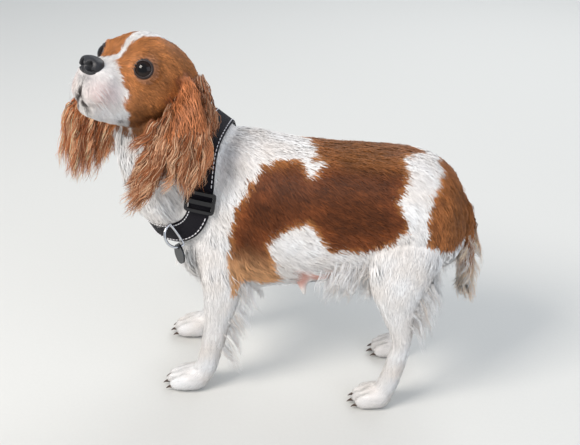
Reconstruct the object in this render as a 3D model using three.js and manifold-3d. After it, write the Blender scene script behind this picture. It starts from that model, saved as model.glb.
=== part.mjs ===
// Cavalier King Charles spaniel, standing, life size, in millimetres: +Z is up and the dog faces -X, so
// that its left side is -Y. The head is raised and turned to its left, and the ears and the tail hang. The
// body pieces are round forms drawn along a spine, long coat is flat tapered locks rooted in them, and a
// collar is round the neck.
import * as THREE from "three";
import { mergeVertices } from "three/addons/utils/BufferGeometryUtils.js";
import Module from "manifold-3d";

const wasm = await Module();
wasm.setup();

// Driving dimensions
const GAP = 0.3; // clearance between touching pieces
const EYE_RADIUS = 11.5;
const EYE_SPACING = 55; // between the eyeballs' centres
const EYE_SET_BACK = 6.5; // behind the line between the eyes' fronts
const EYE_TURN = 35; // each eye looks this many degrees outwards
const LID_OPENING = 9.2; // radius of the opening between the lids
const LID_THICKNESS = 1.7; // radius of the lids' soft rim
const STRAP_WIDTH = 24;
const STRAP_THICKNESS = 2.6;
const STRAP_STEPS = 40;
const SLIDER_LENGTH = 24; // along the strap
const SLIDER_WIDTH = 32;
const SLIDER_THICKNESS = 3;
const SLIDER_LIFT = 0.6; // between the strap and the slider lying on it
const RING_WIRE = 1.5; // radius of the D-ring's wire
const RING_RADIUS = 13.8;
const RING_BOW = 1.6; // how far the straight bar bows towards the strap
const RING_ANGLE = 127; // degrees round the collar, from the nape down the dog's left side
const SLIDER_ANGLE = 86;
const TAG_RADIUS = 11;
const TAG_THICKNESS = 2;
const TAG_HOLE = 2.6;
const MOUTH_GAP = 0.9;
const MOUTH_CORNER = 2; // forward of the eyes
const CLAW_RADIUS = 1.8; // at its root
const STANCE = 54; // half the distance between a pair of feet

// The head's own frame: forward, left and up, from the point midway between the eyes
const HEAD_AT = new THREE.Vector3(-162, -40, 383.4);
const HEAD_YAW = 54.3;
const HEAD_PITCH = 23.8;
const HEAD_ROLL = -1.8;

const degrees = THREE.MathUtils.degToRad;
const vec = (x, y, z) => new THREE.Vector3(x, y, z);

// The three axes of the head, turned about the vertical, then tipped up, then rolled.
function headAxes() {
  const axes = [vec(-1, 0, 0), vec(0, -1, 0), vec(0, 0, 1)];
  const turn = (axis, angle) => {
    const about = axis.clone();
    axes.forEach((a) => a.applyAxisAngle(about, degrees(angle)));
  };
  turn(axes[2], HEAD_YAW);
  turn(axes[1], -HEAD_PITCH);
  turn(axes[0], HEAD_ROLL);
  return axes;
}
const [FORWARD, LEFT, UP] = headAxes();
const headPoint = (f, l, u) =>
  HEAD_AT.clone()
    .addScaledVector(FORWARD, f)
    .addScaledVector(LEFT, l)
    .addScaledVector(UP, u);
const headDirection = (f, l, u) =>
  vec(0, 0, 0)
    .addScaledVector(FORWARD, f)
    .addScaledVector(LEFT, l)
    .addScaledVector(UP, u);

// Six times the volume inside an indexed closed geometry; it is negative when the faces point inwards.
function signedVolume(geometry) {
  const { position } = geometry.attributes;
  const index = geometry.index.array;
  const [a, b, c] = [vec(0, 0, 0), vec(0, 0, 0), vec(0, 0, 0)];
  let sum = 0;
  for (let i = 0; i < index.length; i += 3) {
    a.fromBufferAttribute(position, index[i]);
    b.fromBufferAttribute(position, index[i + 1]);
    c.fromBufferAttribute(position, index[i + 2]);
    sum += a.dot(b.cross(c));
  }
  return sum;
}

function reverseFaces(geometry) {
  const index = geometry.index.array;
  for (let i = 0; i < index.length; i += 3)
    [index[i + 1], index[i + 2]] = [index[i + 2], index[i + 1]];
}

// A closed three.js geometry as a solid for joining and cutting, its surface pushed out by `grow`.
function solidOf(geometry, grow = 0) {
  const bare = geometry.clone();
  bare.deleteAttribute("normal");
  bare.deleteAttribute("uv");
  const merged = mergeVertices(bare, 1e-4);
  if (signedVolume(merged) < 0) reverseFaces(merged);
  if (grow) {
    merged.computeVertexNormals();
    const { position, normal } = merged.attributes;
    for (let i = 0; i < position.count; i++)
      position.setXYZ(
        i,
        position.getX(i) + grow * normal.getX(i),
        position.getY(i) + grow * normal.getY(i),
        position.getZ(i) + grow * normal.getZ(i),
      );
  }
  const made = new wasm.Manifold(
    new wasm.Mesh({
      numProp: 3,
      vertProperties: merged.attributes.position.array,
      triVerts: new Uint32Array(merged.index.array),
    }),
  );
  return made;
}

const joined = (solids) => wasm.Manifold.union(solids);

// The largest closed piece of a solid, with any sealed hollow filled.
function largest(solid) {
  const pieces = solid.decompose();
  return pieces.reduce((a, b) => (b.volume() > a.volume() ? b : a));
}

// A small seeded random source, so that every build draws the same locks.
function seeded(seed) {
  let state = seed;
  return () => {
    state = (state + 0x6d2b79f5) | 0;
    let t = Math.imul(state ^ (state >>> 15), 1 | state);
    t = (t + Math.imul(t ^ (t >>> 7), 61 | t)) ^ t;
    return ((t ^ (t >>> 14)) >>> 0) / 4294967296;
  };
}

// A round form drawn along a smooth spine. Each station is [x, y, z, half width, reach up, reach down]; up
// is the side of the ring that faces `reference`. `square` makes the rings boxier, and the ends round off
// over `caps`. Bumps are [point, radius, push], each swelling the surface near its point. With `axis` all
// rings face that way instead of following the spine, which keeps wide rings clear of one another at a
// bend.
class Form {
  constructor(stations, reference, options = {}) {
    const line = (points) =>
      new THREE.CatmullRomCurve3(points, false, "catmullrom", 0.5);
    this.spine = line(stations.map((s) => vec(s[0], s[1], s[2])));
    this.sizes = line(stations.map((s) => vec(s[3], s[4], s[5])));
    this.reference = reference;
    this.axis = options.axis ?? null;
    this.square = options.square ?? 2.2;
    this.caps = options.caps ?? [0.15, 0.15];
    this.bumps = options.bumps ?? [];
    this.rings = options.rings;
    this.sides = options.sides;
  }

  // Middle, side and up directions and tangent of the ring at t, from 0 to 1 along the spine.
  frame(t) {
    const h = 0.002;
    const middle = this.spine.getPoint(t);
    const tangent = this.axis
      ? this.axis.clone()
      : this.spine
          .getPoint(Math.min(1, t + h))
          .sub(this.spine.getPoint(Math.max(0, t - h)))
          .normalize();
    const side = tangent.clone().cross(this.reference).normalize();
    const up = side.clone().cross(tangent);
    return { middle, tangent, side, up };
  }

  // How far the ring at t has closed towards a rounded end, from 0 to 1.
  rounding(t) {
    const [first, last] = this.caps;
    const near = t < first ? 1 - t / first : 0;
    const far = t > 1 - last ? 1 - (1 - t) / last : 0;
    return Math.sqrt(Math.max(0, 1 - near * near)) * Math.sqrt(Math.max(0, 1 - far * far));
  }

  // The surface point at t along the spine and angle a round it.
  point(t, a) {
    const { middle, side, up } = this.frame(t);
    const size = this.sizes.getPoint(t);
    const power = 2 / this.square;
    const c = Math.cos(a);
    const s = Math.sin(a);
    const across = Math.sign(c) * Math.abs(c) ** power * size.x;
    const reach = s > 0 ? size.y : size.z;
    const rise = Math.sign(s) * Math.abs(s) ** power * reach;
    const close = this.rounding(t);
    const p = middle
      .addScaledVector(side, across * close)
      .addScaledVector(up, rise * close);
    for (const [at, radius, push] of this.bumps)
      p.addScaledVector(push, Math.exp(-p.distanceToSquared(at) / (radius * radius)));
    return p;
  }

  // The outward direction of the surface at t and a.
  normal(t, a) {
    const h = 0.01;
    const along = this.point(Math.min(1, t + h), a).sub(this.point(Math.max(0, t - h), a));
    const round = this.point(t, a + h).sub(this.point(t, a - h));
    const n = round.cross(along).normalize();
    const outward = this.point(t, a).sub(this.spine.getPoint(t));
    return n.dot(outward) < 0 ? n.negate() : n;
  }

  // The form as a solid: a sphere whose poles are the spine's ends.
  solid(grow = 0) {
    const geometry = new THREE.SphereGeometry(1, this.sides, this.rings);
    const position = geometry.attributes.position;
    const unit = vec(0, 0, 0);
    for (let i = 0; i < position.count; i++) {
      unit.fromBufferAttribute(position, i);
      const t = Math.acos(THREE.MathUtils.clamp(unit.y, -1, 1)) / Math.PI;
      const p = this.point(t, Math.atan2(unit.z, unit.x));
      position.setXYZ(i, p.x, p.y, p.z);
    }
    return solidOf(geometry, grow);
  }
}

// Torso
const torsoForm = new Form(
  [
    [-149, 0, 162, 22, 18, 28],
    [-136, 0, 170, 34, 36, 44],
    [-112, 0, 189, 50, 68, 71],
    [-80, 0, 208, 66, 96, 92],
    [-45, 0, 210, 70, 93, 92],
    [-5, 0, 213, 72, 83, 86],
    [40, 0, 217, 71, 76, 83],
    [82, 0, 222, 67, 72, 77],
    [122, 0, 226, 65, 67, 72],
    [153, 0, 224, 60, 61, 62],
    [176, 0, 217, 49, 50, 50],
    [193, 0, 208, 32, 33, 34],
  ],
  vec(0, 0, 1),
  { axis: vec(1, 0, 0), square: 2.3, caps: [0.14, 0.12], rings: 19, sides: 18 },
);

// Neck
const neckForm = new Form(
  [
    [-78, 0, 186, 52, 56, 40],
    [-97, 0, 215, 57, 66, 46],
    [-115, -3, 247, 56, 71, 46],
    [-128, -9, 281, 52, 64, 51],
    [-137, -14, 314, 48, 54, 57],
    [-142, -17, 345, 42, 42, 56],
  ],
  vec(-1, 0, 0),
  { square: 2.2, caps: [0.2, 0.2], rings: 12, sides: 18 },
);

// Head: the skull with the upper muzzle, the lower jaw and the nose, each station being [forward, up, half
// width, reach up, reach down]
const inHead = (stations) =>
  stations.map(([f, u, w, up, down]) => [...headPoint(f, 0, u).toArray(), w, up, down]);
const headForm = new Form(
  inHead([
    [-90, -18, 24, 20, 24],
    [-76, -14, 37, 32, 34],
    [-58, -11, 44, 39, 43],
    [-40, -10, 47, 44.5, 49],
    [-22, -10, 46, 46, 50],
    [-8, -12, 42, 43, 48],
    [2, -15, 38.5, 35, 43],
    [12, -19, 30, 25, 37],
    [23, -20, 26, 21, 34],
    [34, -20, 24.5, 18, 33],
    [43, -21, 20, 16, 29],
    [48, -21, 15, 13, 23],
  ]),
  UP,
  {
    axis: FORWARD,
    square: 2.3,
    caps: [0.13, 0.09],
    rings: 20,
    sides: 20,
    bumps: [
      [headPoint(5, 25, 9), 13, headDirection(4, 2, 5)],
      [headPoint(5, -25, 9), 13, headDirection(4, -2, 5)],
      [headPoint(34, 22, -38), 13, headDirection(2, 2.5, -2)],
      [headPoint(34, -22, -38), 13, headDirection(2, -2.5, -2)],
      [headPoint(10, 0, 8), 9, headDirection(-3, 0, -3)],
    ],
  },
);
const jawForm = new Form(
  inHead([
    [-44, -44, 30, 14, 16],
    [-24, -50, 27, 12, 14],
    [-4, -53, 21, 10, 12],
    [14, -54, 18, 9, 10.5],
    [30, -54, 16, 8, 8.5],
    [40, -52, 12, 6, 6.5],
  ]),
  UP,
  { axis: FORWARD, square: 2.3, caps: [0.2, 0.16], rings: 9, sides: 12 },
);
// The rolled edge of the upper lip on each side, from the front of the mouth to its corner.
const lipForm = (sign) =>
  new Form(
    [
      [45, 8, -45],
      [36, 15.5, -46.5],
      [23, 19.5, -48.5],
      [11, 21.5, -50.5],
      [0, 22, -52.5],
    ].map(([f, l, u]) => [...headPoint(f, sign * l, u).toArray(), 3, 3, 3.4]),
    UP,
    { square: 2, caps: [0.2, 0.2], rings: 6, sides: 5 },
  );
const noseForm = new Form(
  inHead([
    [33, -9, 8, 6, 6],
    [39, -9, 12.5, 8.5, 8.5],
    [46, -10, 13, 9, 9.5],
    [51, -11, 9, 6, 7],
  ]),
  UP,
  { axis: FORWARD, square: 2.5, caps: [0.25, 0.32], rings: 8, sides: 14 },
);

const eyeCentre = (sign) =>
  headPoint(-EYE_SET_BACK, (sign * EYE_SPACING) / 2, 0);
const eyeGaze = (sign) =>
  headDirection(
    Math.cos(degrees(EYE_TURN)),
    sign * Math.sin(degrees(EYE_TURN)),
    0.12,
  ).normalize();

function ball(centre, radius, sides = 14, rings = 9) {
  const geometry = new THREE.SphereGeometry(radius, sides, rings);
  geometry.translate(centre.x, centre.y, centre.z);
  return solidOf(geometry);
}

// A straight round bar, or a cone where the two radii differ, from one point to another.
function bar(from, to, radiusFrom, radiusTo = radiusFrom, sides = 18) {
  const length = from.distanceTo(to);
  const geometry = new THREE.CylinderGeometry(radiusTo, radiusFrom, length, sides);
  const direction = to.clone().sub(from).normalize();
  geometry.applyQuaternion(
    new THREE.Quaternion().setFromUnitVectors(vec(0, 1, 0), direction),
  );
  const middle = from.clone().lerp(to, 0.5);
  geometry.translate(middle.x, middle.y, middle.z);
  return solidOf(geometry);
}

// The collar's middle line: high at the nape, low at the throat and drawn back at the sides. The angle runs
// from the nape down the dog's left side.
const COLLAR_MIDDLE = vec(-117, -2, 252);
function collarPoint(angle) {
  const c = Math.cos(angle);
  const s = Math.sin(angle);
  return vec(
    COLLAR_MIDDLE.x + 43 * c + s * s * (33 - 25 * c),
    COLLAR_MIDDLE.y - 62 * s,
    COLLAR_MIDDLE.z + 62 * c - s * s * (12 - 17 * c),
  );
}
const collarOutward = (angle) => {
  const c = Math.cos(angle);
  return vec(c * (0.72 - 0.16 * c), -Math.sin(angle), c * (0.64 + 0.17 * c)).normalize();
};

const SOCKET_ROOM = 0.9;
function eyeOpening(sign) {
  const centre = eyeCentre(sign);
  const gaze = eyeGaze(sign);
  return bar(
    centre.clone(),
    centre.clone().addScaledVector(gaze, 30),
    LID_OPENING - 1.5,
    LID_OPENING + 4,
    14,
  );
}

// The rim of the lids, a soft ring round the opening.
function lidRim(sign) {
  const geometry = new THREE.TorusGeometry(LID_OPENING + 0.6, LID_THICKNESS, 5, 14);
  const gaze = eyeGaze(sign);
  geometry.applyQuaternion(new THREE.Quaternion().setFromUnitVectors(vec(0, 0, 1), gaze));
  const ahead = Math.sqrt(EYE_RADIUS ** 2 - LID_OPENING ** 2) + 1.2;
  const at = eyeCentre(sign).addScaledVector(gaze, ahead);
  geometry.translate(at.x, at.y, at.z);
  return solidOf(geometry);
}

// The whole head without its eyes, as the cutter of what lies against it.
const headCutter = (grow) =>
  joined([headForm, jawForm, lipForm(1), lipForm(-1)].map((form) => form.solid(grow)));

// The mouth is open by a narrow line between the upper lips and the jaw, back to the corners of the mouth.
function headNode() {
  const corners = headPoint(MOUTH_CORNER, 0, 0).dot(FORWARD);
  const mouth = jawForm.solid(MOUTH_GAP).trimByPlane(FORWARD.toArray(), corners);
  const upper = joined([headForm.solid(), lipForm(1).solid(), lipForm(-1).solid()]);
  let head = joined([upper.subtract(mouth), jawForm.solid()]);
  for (const sign of [1, -1]) {
    head = head.subtract(eyeOpening(sign)).add(lidRim(sign));
    head = head.subtract(ball(eyeCentre(sign), EYE_RADIUS + SOCKET_ROOM, 12, 8));
  }
  return largest(head.subtract(noseForm.solid(GAP)));
}

function noseNode() {
  let nose = noseForm.solid();
  for (const sign of [1, -1]) {
    const front = headPoint(55, sign * 5.8, -11);
    const inside = headPoint(45, sign * 7.6, -9);
    nose = nose.subtract(bar(front, inside, 3.3, 1.8, 8));
    const slitFront = headPoint(52, sign * 6.5, -13);
    const slitBack = headPoint(45, sign * 14.5, -15);
    nose = nose.subtract(bar(slitFront, slitBack, 1.2, 1.4, 6));
  }
  return largest(nose);
}

const eyeNode = (sign) => ball(eyeCentre(sign), EYE_RADIUS);

// Ears: each leather hangs from the side of the skull; its thickness is along the form's up direction.
const earRoot = (sign) => headPoint(-50, sign * 36, -4).toArray();
const earForms = {
  left: new Form(
    [
      [...earRoot(1), 16, 6, 6],
      [-96, -52, 352, 19, 6, 6],
      [-90, -68, 333, 27, 6, 6],
      [-95, -77, 305, 33, 6.5, 6.5],
      [-108, -80, 275, 34, 7, 7],
      [-122, -80, 246, 25, 6, 6],
    ],
    vec(0, -1, 0),
    { square: 2, caps: [0.12, 0.2], rings: 9, sides: 10 },
  ),
  right: new Form(
    [
      [...earRoot(-1), 15, 6, 6],
      [-191, 24, 350, 18, 6, 6],
      [-212, 21, 328, 26, 6, 6],
      [-226, 14, 302, 29, 6.5, 6.5],
      [-232, 10, 272, 29, 7, 7],
      [-231, 9, 246, 21, 6, 6],
    ],
    vec(-0.7, 0.7, 0),
    { square: 2, caps: [0.12, 0.2], rings: 9, sides: 10 },
  ),
};
const EAR_CUPS = { left: vec(-93, -53, 336), right: vec(-192, 8, 330) };

// Leg stations run from the shoulder or hip down to the pastern; the paw is a form of its own on the same
// foot.
const legForms = {
  front_leg_left: new Form(
    [
      [-72, -40, 205, 20, 32, 28],
      [-68, -50, 165, 19, 27, 27],
      [-68, -54, 130, 17, 22, 24],
      [-73, -55, 95, 14.5, 16.5, 18],
      [-80, -55, 60, 13.5, 15, 15],
      [-88, -55, 30, 14, 15, 14],
      [-96, -55, 12, 15, 16, 13],
    ],
    vec(-1, 0, 0),
    { square: 2.2, caps: [0.12, 0.1], rings: 10, sides: 10 },
  ),
  front_leg_right: new Form(
    [
      [-74, 40, 205, 20, 32, 28],
      [-72, 50, 165, 19, 27, 27],
      [-76, 53, 130, 17, 22, 24],
      [-87, 53, 95, 14.5, 16.5, 18],
      [-99, 53, 60, 13.5, 15, 15],
      [-110, 53, 30, 14, 15, 14],
      [-118, 53, 12, 15, 16, 13],
    ],
    vec(-1, 0, 0),
    { square: 2.2, caps: [0.12, 0.1], rings: 10, sides: 10 },
  ),
  hind_leg_left: new Form(
    [
      [138, -38, 222, 22, 42, 40],
      [130, -48, 188, 23, 40, 38],
      [125, -54, 155, 20, 31, 32],
      [128, -55, 122, 15, 19, 20],
      [133, -55, 92, 12.5, 13, 13],
      [128, -54, 60, 12.5, 13, 13],
      [121, -53, 32, 13, 14, 13],
      [114, -52, 12, 14, 15, 13],
    ],
    vec(-1, 0, 0),
    { square: 2.2, caps: [0.12, 0.1], rings: 12, sides: 10 },
  ),
  hind_leg_right: new Form(
    [
      [142, 38, 222, 22, 42, 40],
      [138, 48, 188, 23, 40, 38],
      [135, 53, 155, 20, 31, 32],
      [139, 53, 122, 15, 19, 20],
      [145, 52, 92, 12.5, 13, 13],
      [140, 51, 60, 12.5, 13, 13],
      [133, 50, 32, 13, 14, 13],
      [126, 50, 12, 14, 15, 13],
    ],
    vec(-1, 0, 0),
    { square: 2.2, caps: [0.12, 0.1], rings: 12, sides: 10 },
  ),
};

const PAW_MIDDLES = {
  front_leg_left: vec(-106, -STANCE - 1, 12),
  front_leg_right: vec(-129, STANCE - 2, 12),
  hind_leg_left: vec(107, -STANCE + 2, 11),
  hind_leg_right: vec(119, STANCE - 4, 11),
};

// A paw: a pad behind and four toes fanned in front, cut flat at the floor.
function pawSolid(name, grow = 0) {
  const at = PAW_MIDDLES[name];
  const hind = name.startsWith("hind");
  const length = hind ? 46 : 50;
  const width = hind ? 19 : 21;
  const form = new Form(
    [
      [at.x + length * 0.42, at.y, at.z + 1, width * 0.62, 13, 13],
      [at.x + length * 0.15, at.y, at.z + 2, width * 0.88, 16, 14],
      [at.x - length * 0.15, at.y, at.z, width, 13, 13],
      [at.x - length * 0.36, at.y, at.z - 2, width * 0.8, 9, 11],
    ],
    vec(0, 0, 1),
    { square: 2.4, caps: [0.3, 0.2], rings: 6, sides: 8 },
  );
  const pieces = [form.solid(grow)];
  for (const [k, across] of [-0.72, -0.27, 0.27, 0.72].entries()) {
    const reach = k === 1 || k === 2 ? 0.56 : 0.44;
    const toe = new Form(
      [
        [at.x - length * (reach - 0.4), at.y + across * width * 0.86, at.z + 1, 5.2, 9, 10],
        [at.x - length * (reach - 0.14), at.y + across * width, at.z - 1, 5.8, 8.5, 10],
        [at.x - length * reach, at.y + across * width * 1.04, at.z - 4.5, 4.8, 5.5, 6.5],
      ],
      vec(0, 0, 1),
      { square: 2.2, caps: [0.3, 0.35], rings: 4, sides: 6 },
    );
    const nail = vec(at.x - length * reach, at.y + across * width * 1.04, at.z - 5);
    pieces.push(toe.solid(grow), bar(nail, nail.clone().add(vec(-6, 0, -4)), CLAW_RADIUS, 0.5, 4));
  }
  return joined(pieces).trimByPlane([0, 0, 1], 0);
}

// A lock of long coat: a flat strip that starts `sunk` inside the surface, leaves it along `flow`, hangs
// down by `sag`, curls sideways by `curl` and tapers to its tip. The lists give its shape at the root, at
// two rings and at the tip.
const LOCK_RINGS = 3;
const LOCK_WIDTHS = [0.75, 1, 0.72, 0.12];
const LOCK_THICKNESSES = [1, 0.95, 0.7, 0.3];
const GRAVITY = vec(0, 0, -1);
const LOCK_RISE = 1.25; // how far the strip lies above the surface, as a share of `sunk`
function lockSolid({ root, out, flow, length, width, thickness, sunk, sag, curl }, grow) {
  const geometry = new THREE.ConeGeometry(1, 1, 4, LOCK_RINGS);
  const position = geometry.attributes.position;
  const along = flow.clone().normalize();
  const across = along.clone().cross(out).normalize();
  const face = across.clone().cross(along);
  for (let i = 0; i < position.count; i++) {
    const t = position.getY(i) + 0.5;
    const ring = Math.round(t * LOCK_RINGS);
    const narrow = Math.max(1 - t, 0.01);
    const x = (position.getX(i) / narrow) * width * LOCK_WIDTHS[ring];
    const z = (position.getZ(i) / narrow) * thickness * LOCK_THICKNESSES[ring];
    const lift = sunk * (LOCK_RISE * Math.min(1, t * LOCK_RINGS) - 1);
    const p = root
      .clone()
      .addScaledVector(along, length * t)
      .addScaledVector(out, lift)
      .addScaledVector(across, x + curl * Math.sin(t * Math.PI))
      .addScaledVector(face, z)
      .addScaledVector(GRAVITY, sag * t * t);
    position.setXYZ(i, p.x, p.y, p.z);
  }
  return solidOf(geometry, grow);
}

// Rows of locks over a form, each row [t, first angle, last angle, count, flow at the first, flow at the
// last, length, sag]. Places, directions and sizes vary a little from lock to lock.
const LOCK_VARIATION = 0.16;
const LOCK_STRAY = 0.14;
function lockRows(form, seed, size, rows) {
  const random = seeded(seed);
  const stray = (amount) => (random() * 2 - 1) * amount;
  return rows.flatMap(([t, first, last, count, flowFirst, flowLast, length, sag]) =>
    [...Array(count).keys()].map((k) => {
      const share = count > 1 ? k / (count - 1) : 0.5;
      const angle = degrees(first + (last - first) * share + stray(4));
      const at = t + stray(0.012);
      const flow = flowFirst.clone().normalize().lerp(flowLast.clone().normalize(), share);
      return {
        ...size,
        root: form.point(at, angle),
        out: form.normal(at, angle),
        flow: flow.add(vec(stray(LOCK_STRAY), stray(LOCK_STRAY), stray(LOCK_STRAY))),
        length: length * (1 + stray(LOCK_VARIATION)),
        width: size.width * (1 + stray(LOCK_VARIATION)),
        sag: sag * (1 + stray(LOCK_VARIATION)),
        curl: stray(size.curl),
      };
    }),
  );
}

// A form with its locks as one solid.
const coated = (form, locks, grow = 0) =>
  joined([form.solid(grow), ...locks.map((lock) => lockSolid(lock, grow))]);

const DOWN = vec(0, 0, -1);
const DOWN_AND_BACK = vec(0.5, 0, -1);
const DOWN_AND_FORWARD = vec(-0.5, 0, -1);

// Belly fringe, longest before the thighs, and the soft bib of the chest between the forelegs.
const torsoLocks = lockRows(torsoForm, 11, { width: 8, thickness: 2.2, sunk: 8, curl: 4 }, [
  [0.46, 252, 288, 3, DOWN, DOWN, 22, 2],
  [0.55, 246, 294, 4, DOWN_AND_FORWARD, DOWN_AND_FORWARD, 26, 3],
  [0.63, 242, 298, 5, DOWN_AND_FORWARD, DOWN_AND_FORWARD, 34, 4],
  [0.71, 244, 296, 5, DOWN_AND_FORWARD, DOWN_AND_FORWARD, 38, 5],
  [0.1, 205, 335, 4, DOWN, DOWN, 24, 2],
  [0.17, 212, 328, 4, DOWN_AND_BACK, DOWN_AND_BACK, 26, 2],
]);

// The throat's whorl under the chin, and the thick hair of the nape over the collar.
const neckLocks = lockRows(neckForm, 23, { width: 9, thickness: 2.4, sunk: 7, curl: 4 }, [
  [0.84, 40, 130, 3, vec(-0.2, -0.5, -1), vec(-0.5, 0.2, -1), 32, 2],
  [0.7, 24, 140, 4, vec(-0.1, -0.4, -1), vec(-0.4, 0.3, -1), 32, 2],
  [0.56, 34, 130, 3, vec(0.2, -0.3, -1), vec(0, 0.3, -1), 28, 1],
  [0.9, 240, 300, 2, vec(0.7, 0.2, -1), vec(0.7, -0.2, -1), 34, 1],
]);

// The ears' long hair: it fans from the leather, forwards on its front edge and straight down on the other.
const earSize = { width: 9, thickness: 2.6, sunk: 4, curl: 6 };
const earLocks = {
  left: lockRows(earForms.left, 31, earSize, [
    [0.1, 70, 170, 2, vec(0.5, -0.3, -0.8), vec(0.8, -0.1, -0.7), 36, 4],
    [0.32, 30, 150, 3, vec(-0.4, -0.1, -1), vec(0.15, -0.1, -1), 46, 0],
    [0.5, 10, 168, 4, vec(-0.5, 0, -1), vec(0.05, 0, -1), 46, 0],
    [0.68, 0, 180, 5, vec(-0.9, 0, -1), vec(-0.15, 0, -1), 48, 0],
    [0.87, 10, 170, 4, vec(-0.9, 0.1, -1), vec(-0.25, 0.1, -1), 32, 0],
  ]),
  right: lockRows(earForms.right, 37, earSize, [
    [0.4, 30, 150, 3, vec(0.2, 0.3, -1), vec(-0.3, -0.2, -1), 44, 0],
    [0.66, 10, 170, 4, vec(0.2, 0.2, -1), vec(-0.3, -0.2, -1), 44, 0],
    [0.84, 10, 170, 3, vec(0.2, 0.2, -1), vec(-0.25, -0.2, -1), 40, 0],
    [0.45, 200, 330, 3, vec(-0.35, -0.2, -1), vec(0.1, -0.1, -1), 44, 0],
    [0.66, 190, 340, 4, vec(-0.25, -0.2, -1), vec(0.2, 0, -1), 46, 0],
    [0.86, 200, 330, 3, vec(-0.25, -0.2, -1), vec(0.2, 0, -1), 40, 0],
  ]),
};

// Feathering behind the legs; `rows` are [t, count, reach backwards for every unit down, length].
const legFeathers = (form, seed, rows) =>
  lockRows(
    form,
    seed,
    { width: 6.5, thickness: 2.2, sunk: 6, curl: 3 },
    rows.map(([t, count, back, length]) => {
      const flow = vec(back, 0, -1);
      return [t, 242, 298, count, flow, flow, length, 3];
    }),
  );
const FRONT_FEATHERS = [
  [0.29, 2, 1, 44],
  [0.39, 3, 0.8, 44],
  [0.49, 2, 0.6, 40],
  [0.6, 2, 0.45, 30],
];
const HIND_FEATHERS = [
  [0.26, 3, 0.45, 38],
  [0.36, 3, 0.55, 36],
  [0.47, 2, 0.6, 30],
];
const legLocks = Object.fromEntries(
  Object.entries(legForms).map(([name, form], k) => {
    const feathers = name.startsWith("hind") ? HIND_FEATHERS : FRONT_FEATHERS;
    return [name, legFeathers(form, 41 + k, feathers)];
  }),
);

// Tail: it hangs close behind the rump.
const tailForm = new Form(
  [
    [170, 0, 246, 12, 12, 12],
    [188, 0, 246, 12, 12, 12],
    [199, 0, 230, 12, 11, 12],
    [201, 0, 204, 12, 11, 14],
    [200, -1, 165, 13, 10, 15],
    [198, -2, 130, 10, 9, 12],
  ],
  vec(1, 0, 0.3),
  { square: 2, caps: [0.12, 0.2], rings: 10, sides: 10 },
);

const tailLocks = lockRows(tailForm, 53, { width: 7, thickness: 2.6, sunk: 5, curl: 4 }, [
  [0.42, 50, 130, 2, vec(0.2, -0.1, -1), vec(0.2, 0.1, -1), 38, 2],
  [0.58, 10, 170, 3, vec(0.12, -0.1, -1), vec(0.12, 0.1, -1), 40, 1],
  [0.74, -10, 190, 3, vec(0.08, -0.1, -1), vec(0.08, 0.1, -1), 40, 0],
  [0.88, 20, 260, 4, vec(0.08, -0.1, -1), vec(0, 0.1, -1), 32, 0],
]);

// The frame of the strap at an angle round the collar: its middle, its run, its outward face and its width.
function strapFrame(angle) {
  const middle = collarPoint(angle);
  const along = collarPoint(angle + 0.01).sub(collarPoint(angle - 0.01)).normalize();
  const out = collarOutward(angle);
  out.addScaledVector(along, -out.dot(along)).normalize();
  return { middle, along, out, across: along.clone().cross(out) };
}

// Carries a geometry drawn with +X along the strap, +Y across it and +Z outwards to its place on the strap.
function ontoStrap(geometry, angle, lift) {
  const { middle, along, out, across } = strapFrame(angle);
  const place = new THREE.Matrix4().makeBasis(along, across.negate(), out);
  place.setPosition(middle.addScaledVector(out, lift));
  return geometry.applyMatrix4(place);
}

// A closed loop with a constant section: `corners` are [across, out] pairs, and `frameAt` gives the frame
// at an angle.
function loopSolid(steps, corners, frameAt) {
  const geometry = new THREE.TorusGeometry(1, 0.1, corners.length, steps);
  const position = geometry.attributes.position;
  for (let i = 0; i < position.count; i++) {
    const step = i % (steps + 1);
    const [a, o] = corners[Math.floor(i / (steps + 1)) % corners.length];
    const { middle, out, across } = frameAt((step / steps) * Math.PI * 2);
    const p = middle.addScaledVector(across, a).addScaledVector(out, o);
    position.setXYZ(i, p.x, p.y, p.z);
  }
  return solidOf(geometry);
}

// The strap is a band whose section stays flat on the neck as it goes round.
function strapSolid(grow = 0) {
  const half = STRAP_WIDTH / 2 + grow;
  const thick = STRAP_THICKNESS / 2 + grow;
  const corners = [[half, thick], [-half, thick], [-half, -thick], [half, -thick]];
  return loopSolid(STRAP_STEPS, corners, strapFrame);
}

function roundedRectangle(length, width, radius) {
  const [x, y] = [length / 2 - radius, width / 2 - radius];
  const shape = new THREE.Shape();
  const corners = [[x, -y], [x, y], [-x, y], [-x, -y]];
  for (const [k, [cx, cy]] of corners.entries()) {
    const start = ((k - 1) * Math.PI) / 2;
    shape.absarc(cx, cy, radius, start, start + Math.PI / 2);
  }
  return shape;
}

// The slider: a flat frame with two slots and a middle bar, lying on the strap.
function sliderNode() {
  const lift = STRAP_THICKNESS / 2 + SLIDER_LIFT;
  const onStrap = (geometry) => solidOf(ontoStrap(geometry, degrees(SLIDER_ANGLE), lift));
  const plate = new THREE.ExtrudeGeometry(roundedRectangle(SLIDER_LENGTH, SLIDER_WIDTH, 4), {
    depth: SLIDER_THICKNESS,
    bevelEnabled: false,
    curveSegments: 3,
  });
  let slider = onStrap(plate);
  for (const side of [-1, 1]) {
    const slot = new THREE.BoxGeometry(SLIDER_LENGTH / 4, STRAP_WIDTH + 1.6, SLIDER_THICKNESS * 4);
    slot.translate((side * SLIDER_LENGTH) / 4.4, 0, 0);
    slider = slider.subtract(onStrap(slot));
  }
  return slider;
}

// A block on the strap's outer face, its length along the strap and its width across it.
function overStrap(angle, length, width, height) {
  const block = new THREE.BoxGeometry(length, width, height);
  return solidOf(ontoStrap(block, degrees(angle), (height + STRAP_THICKNESS) / 2));
}

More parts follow.
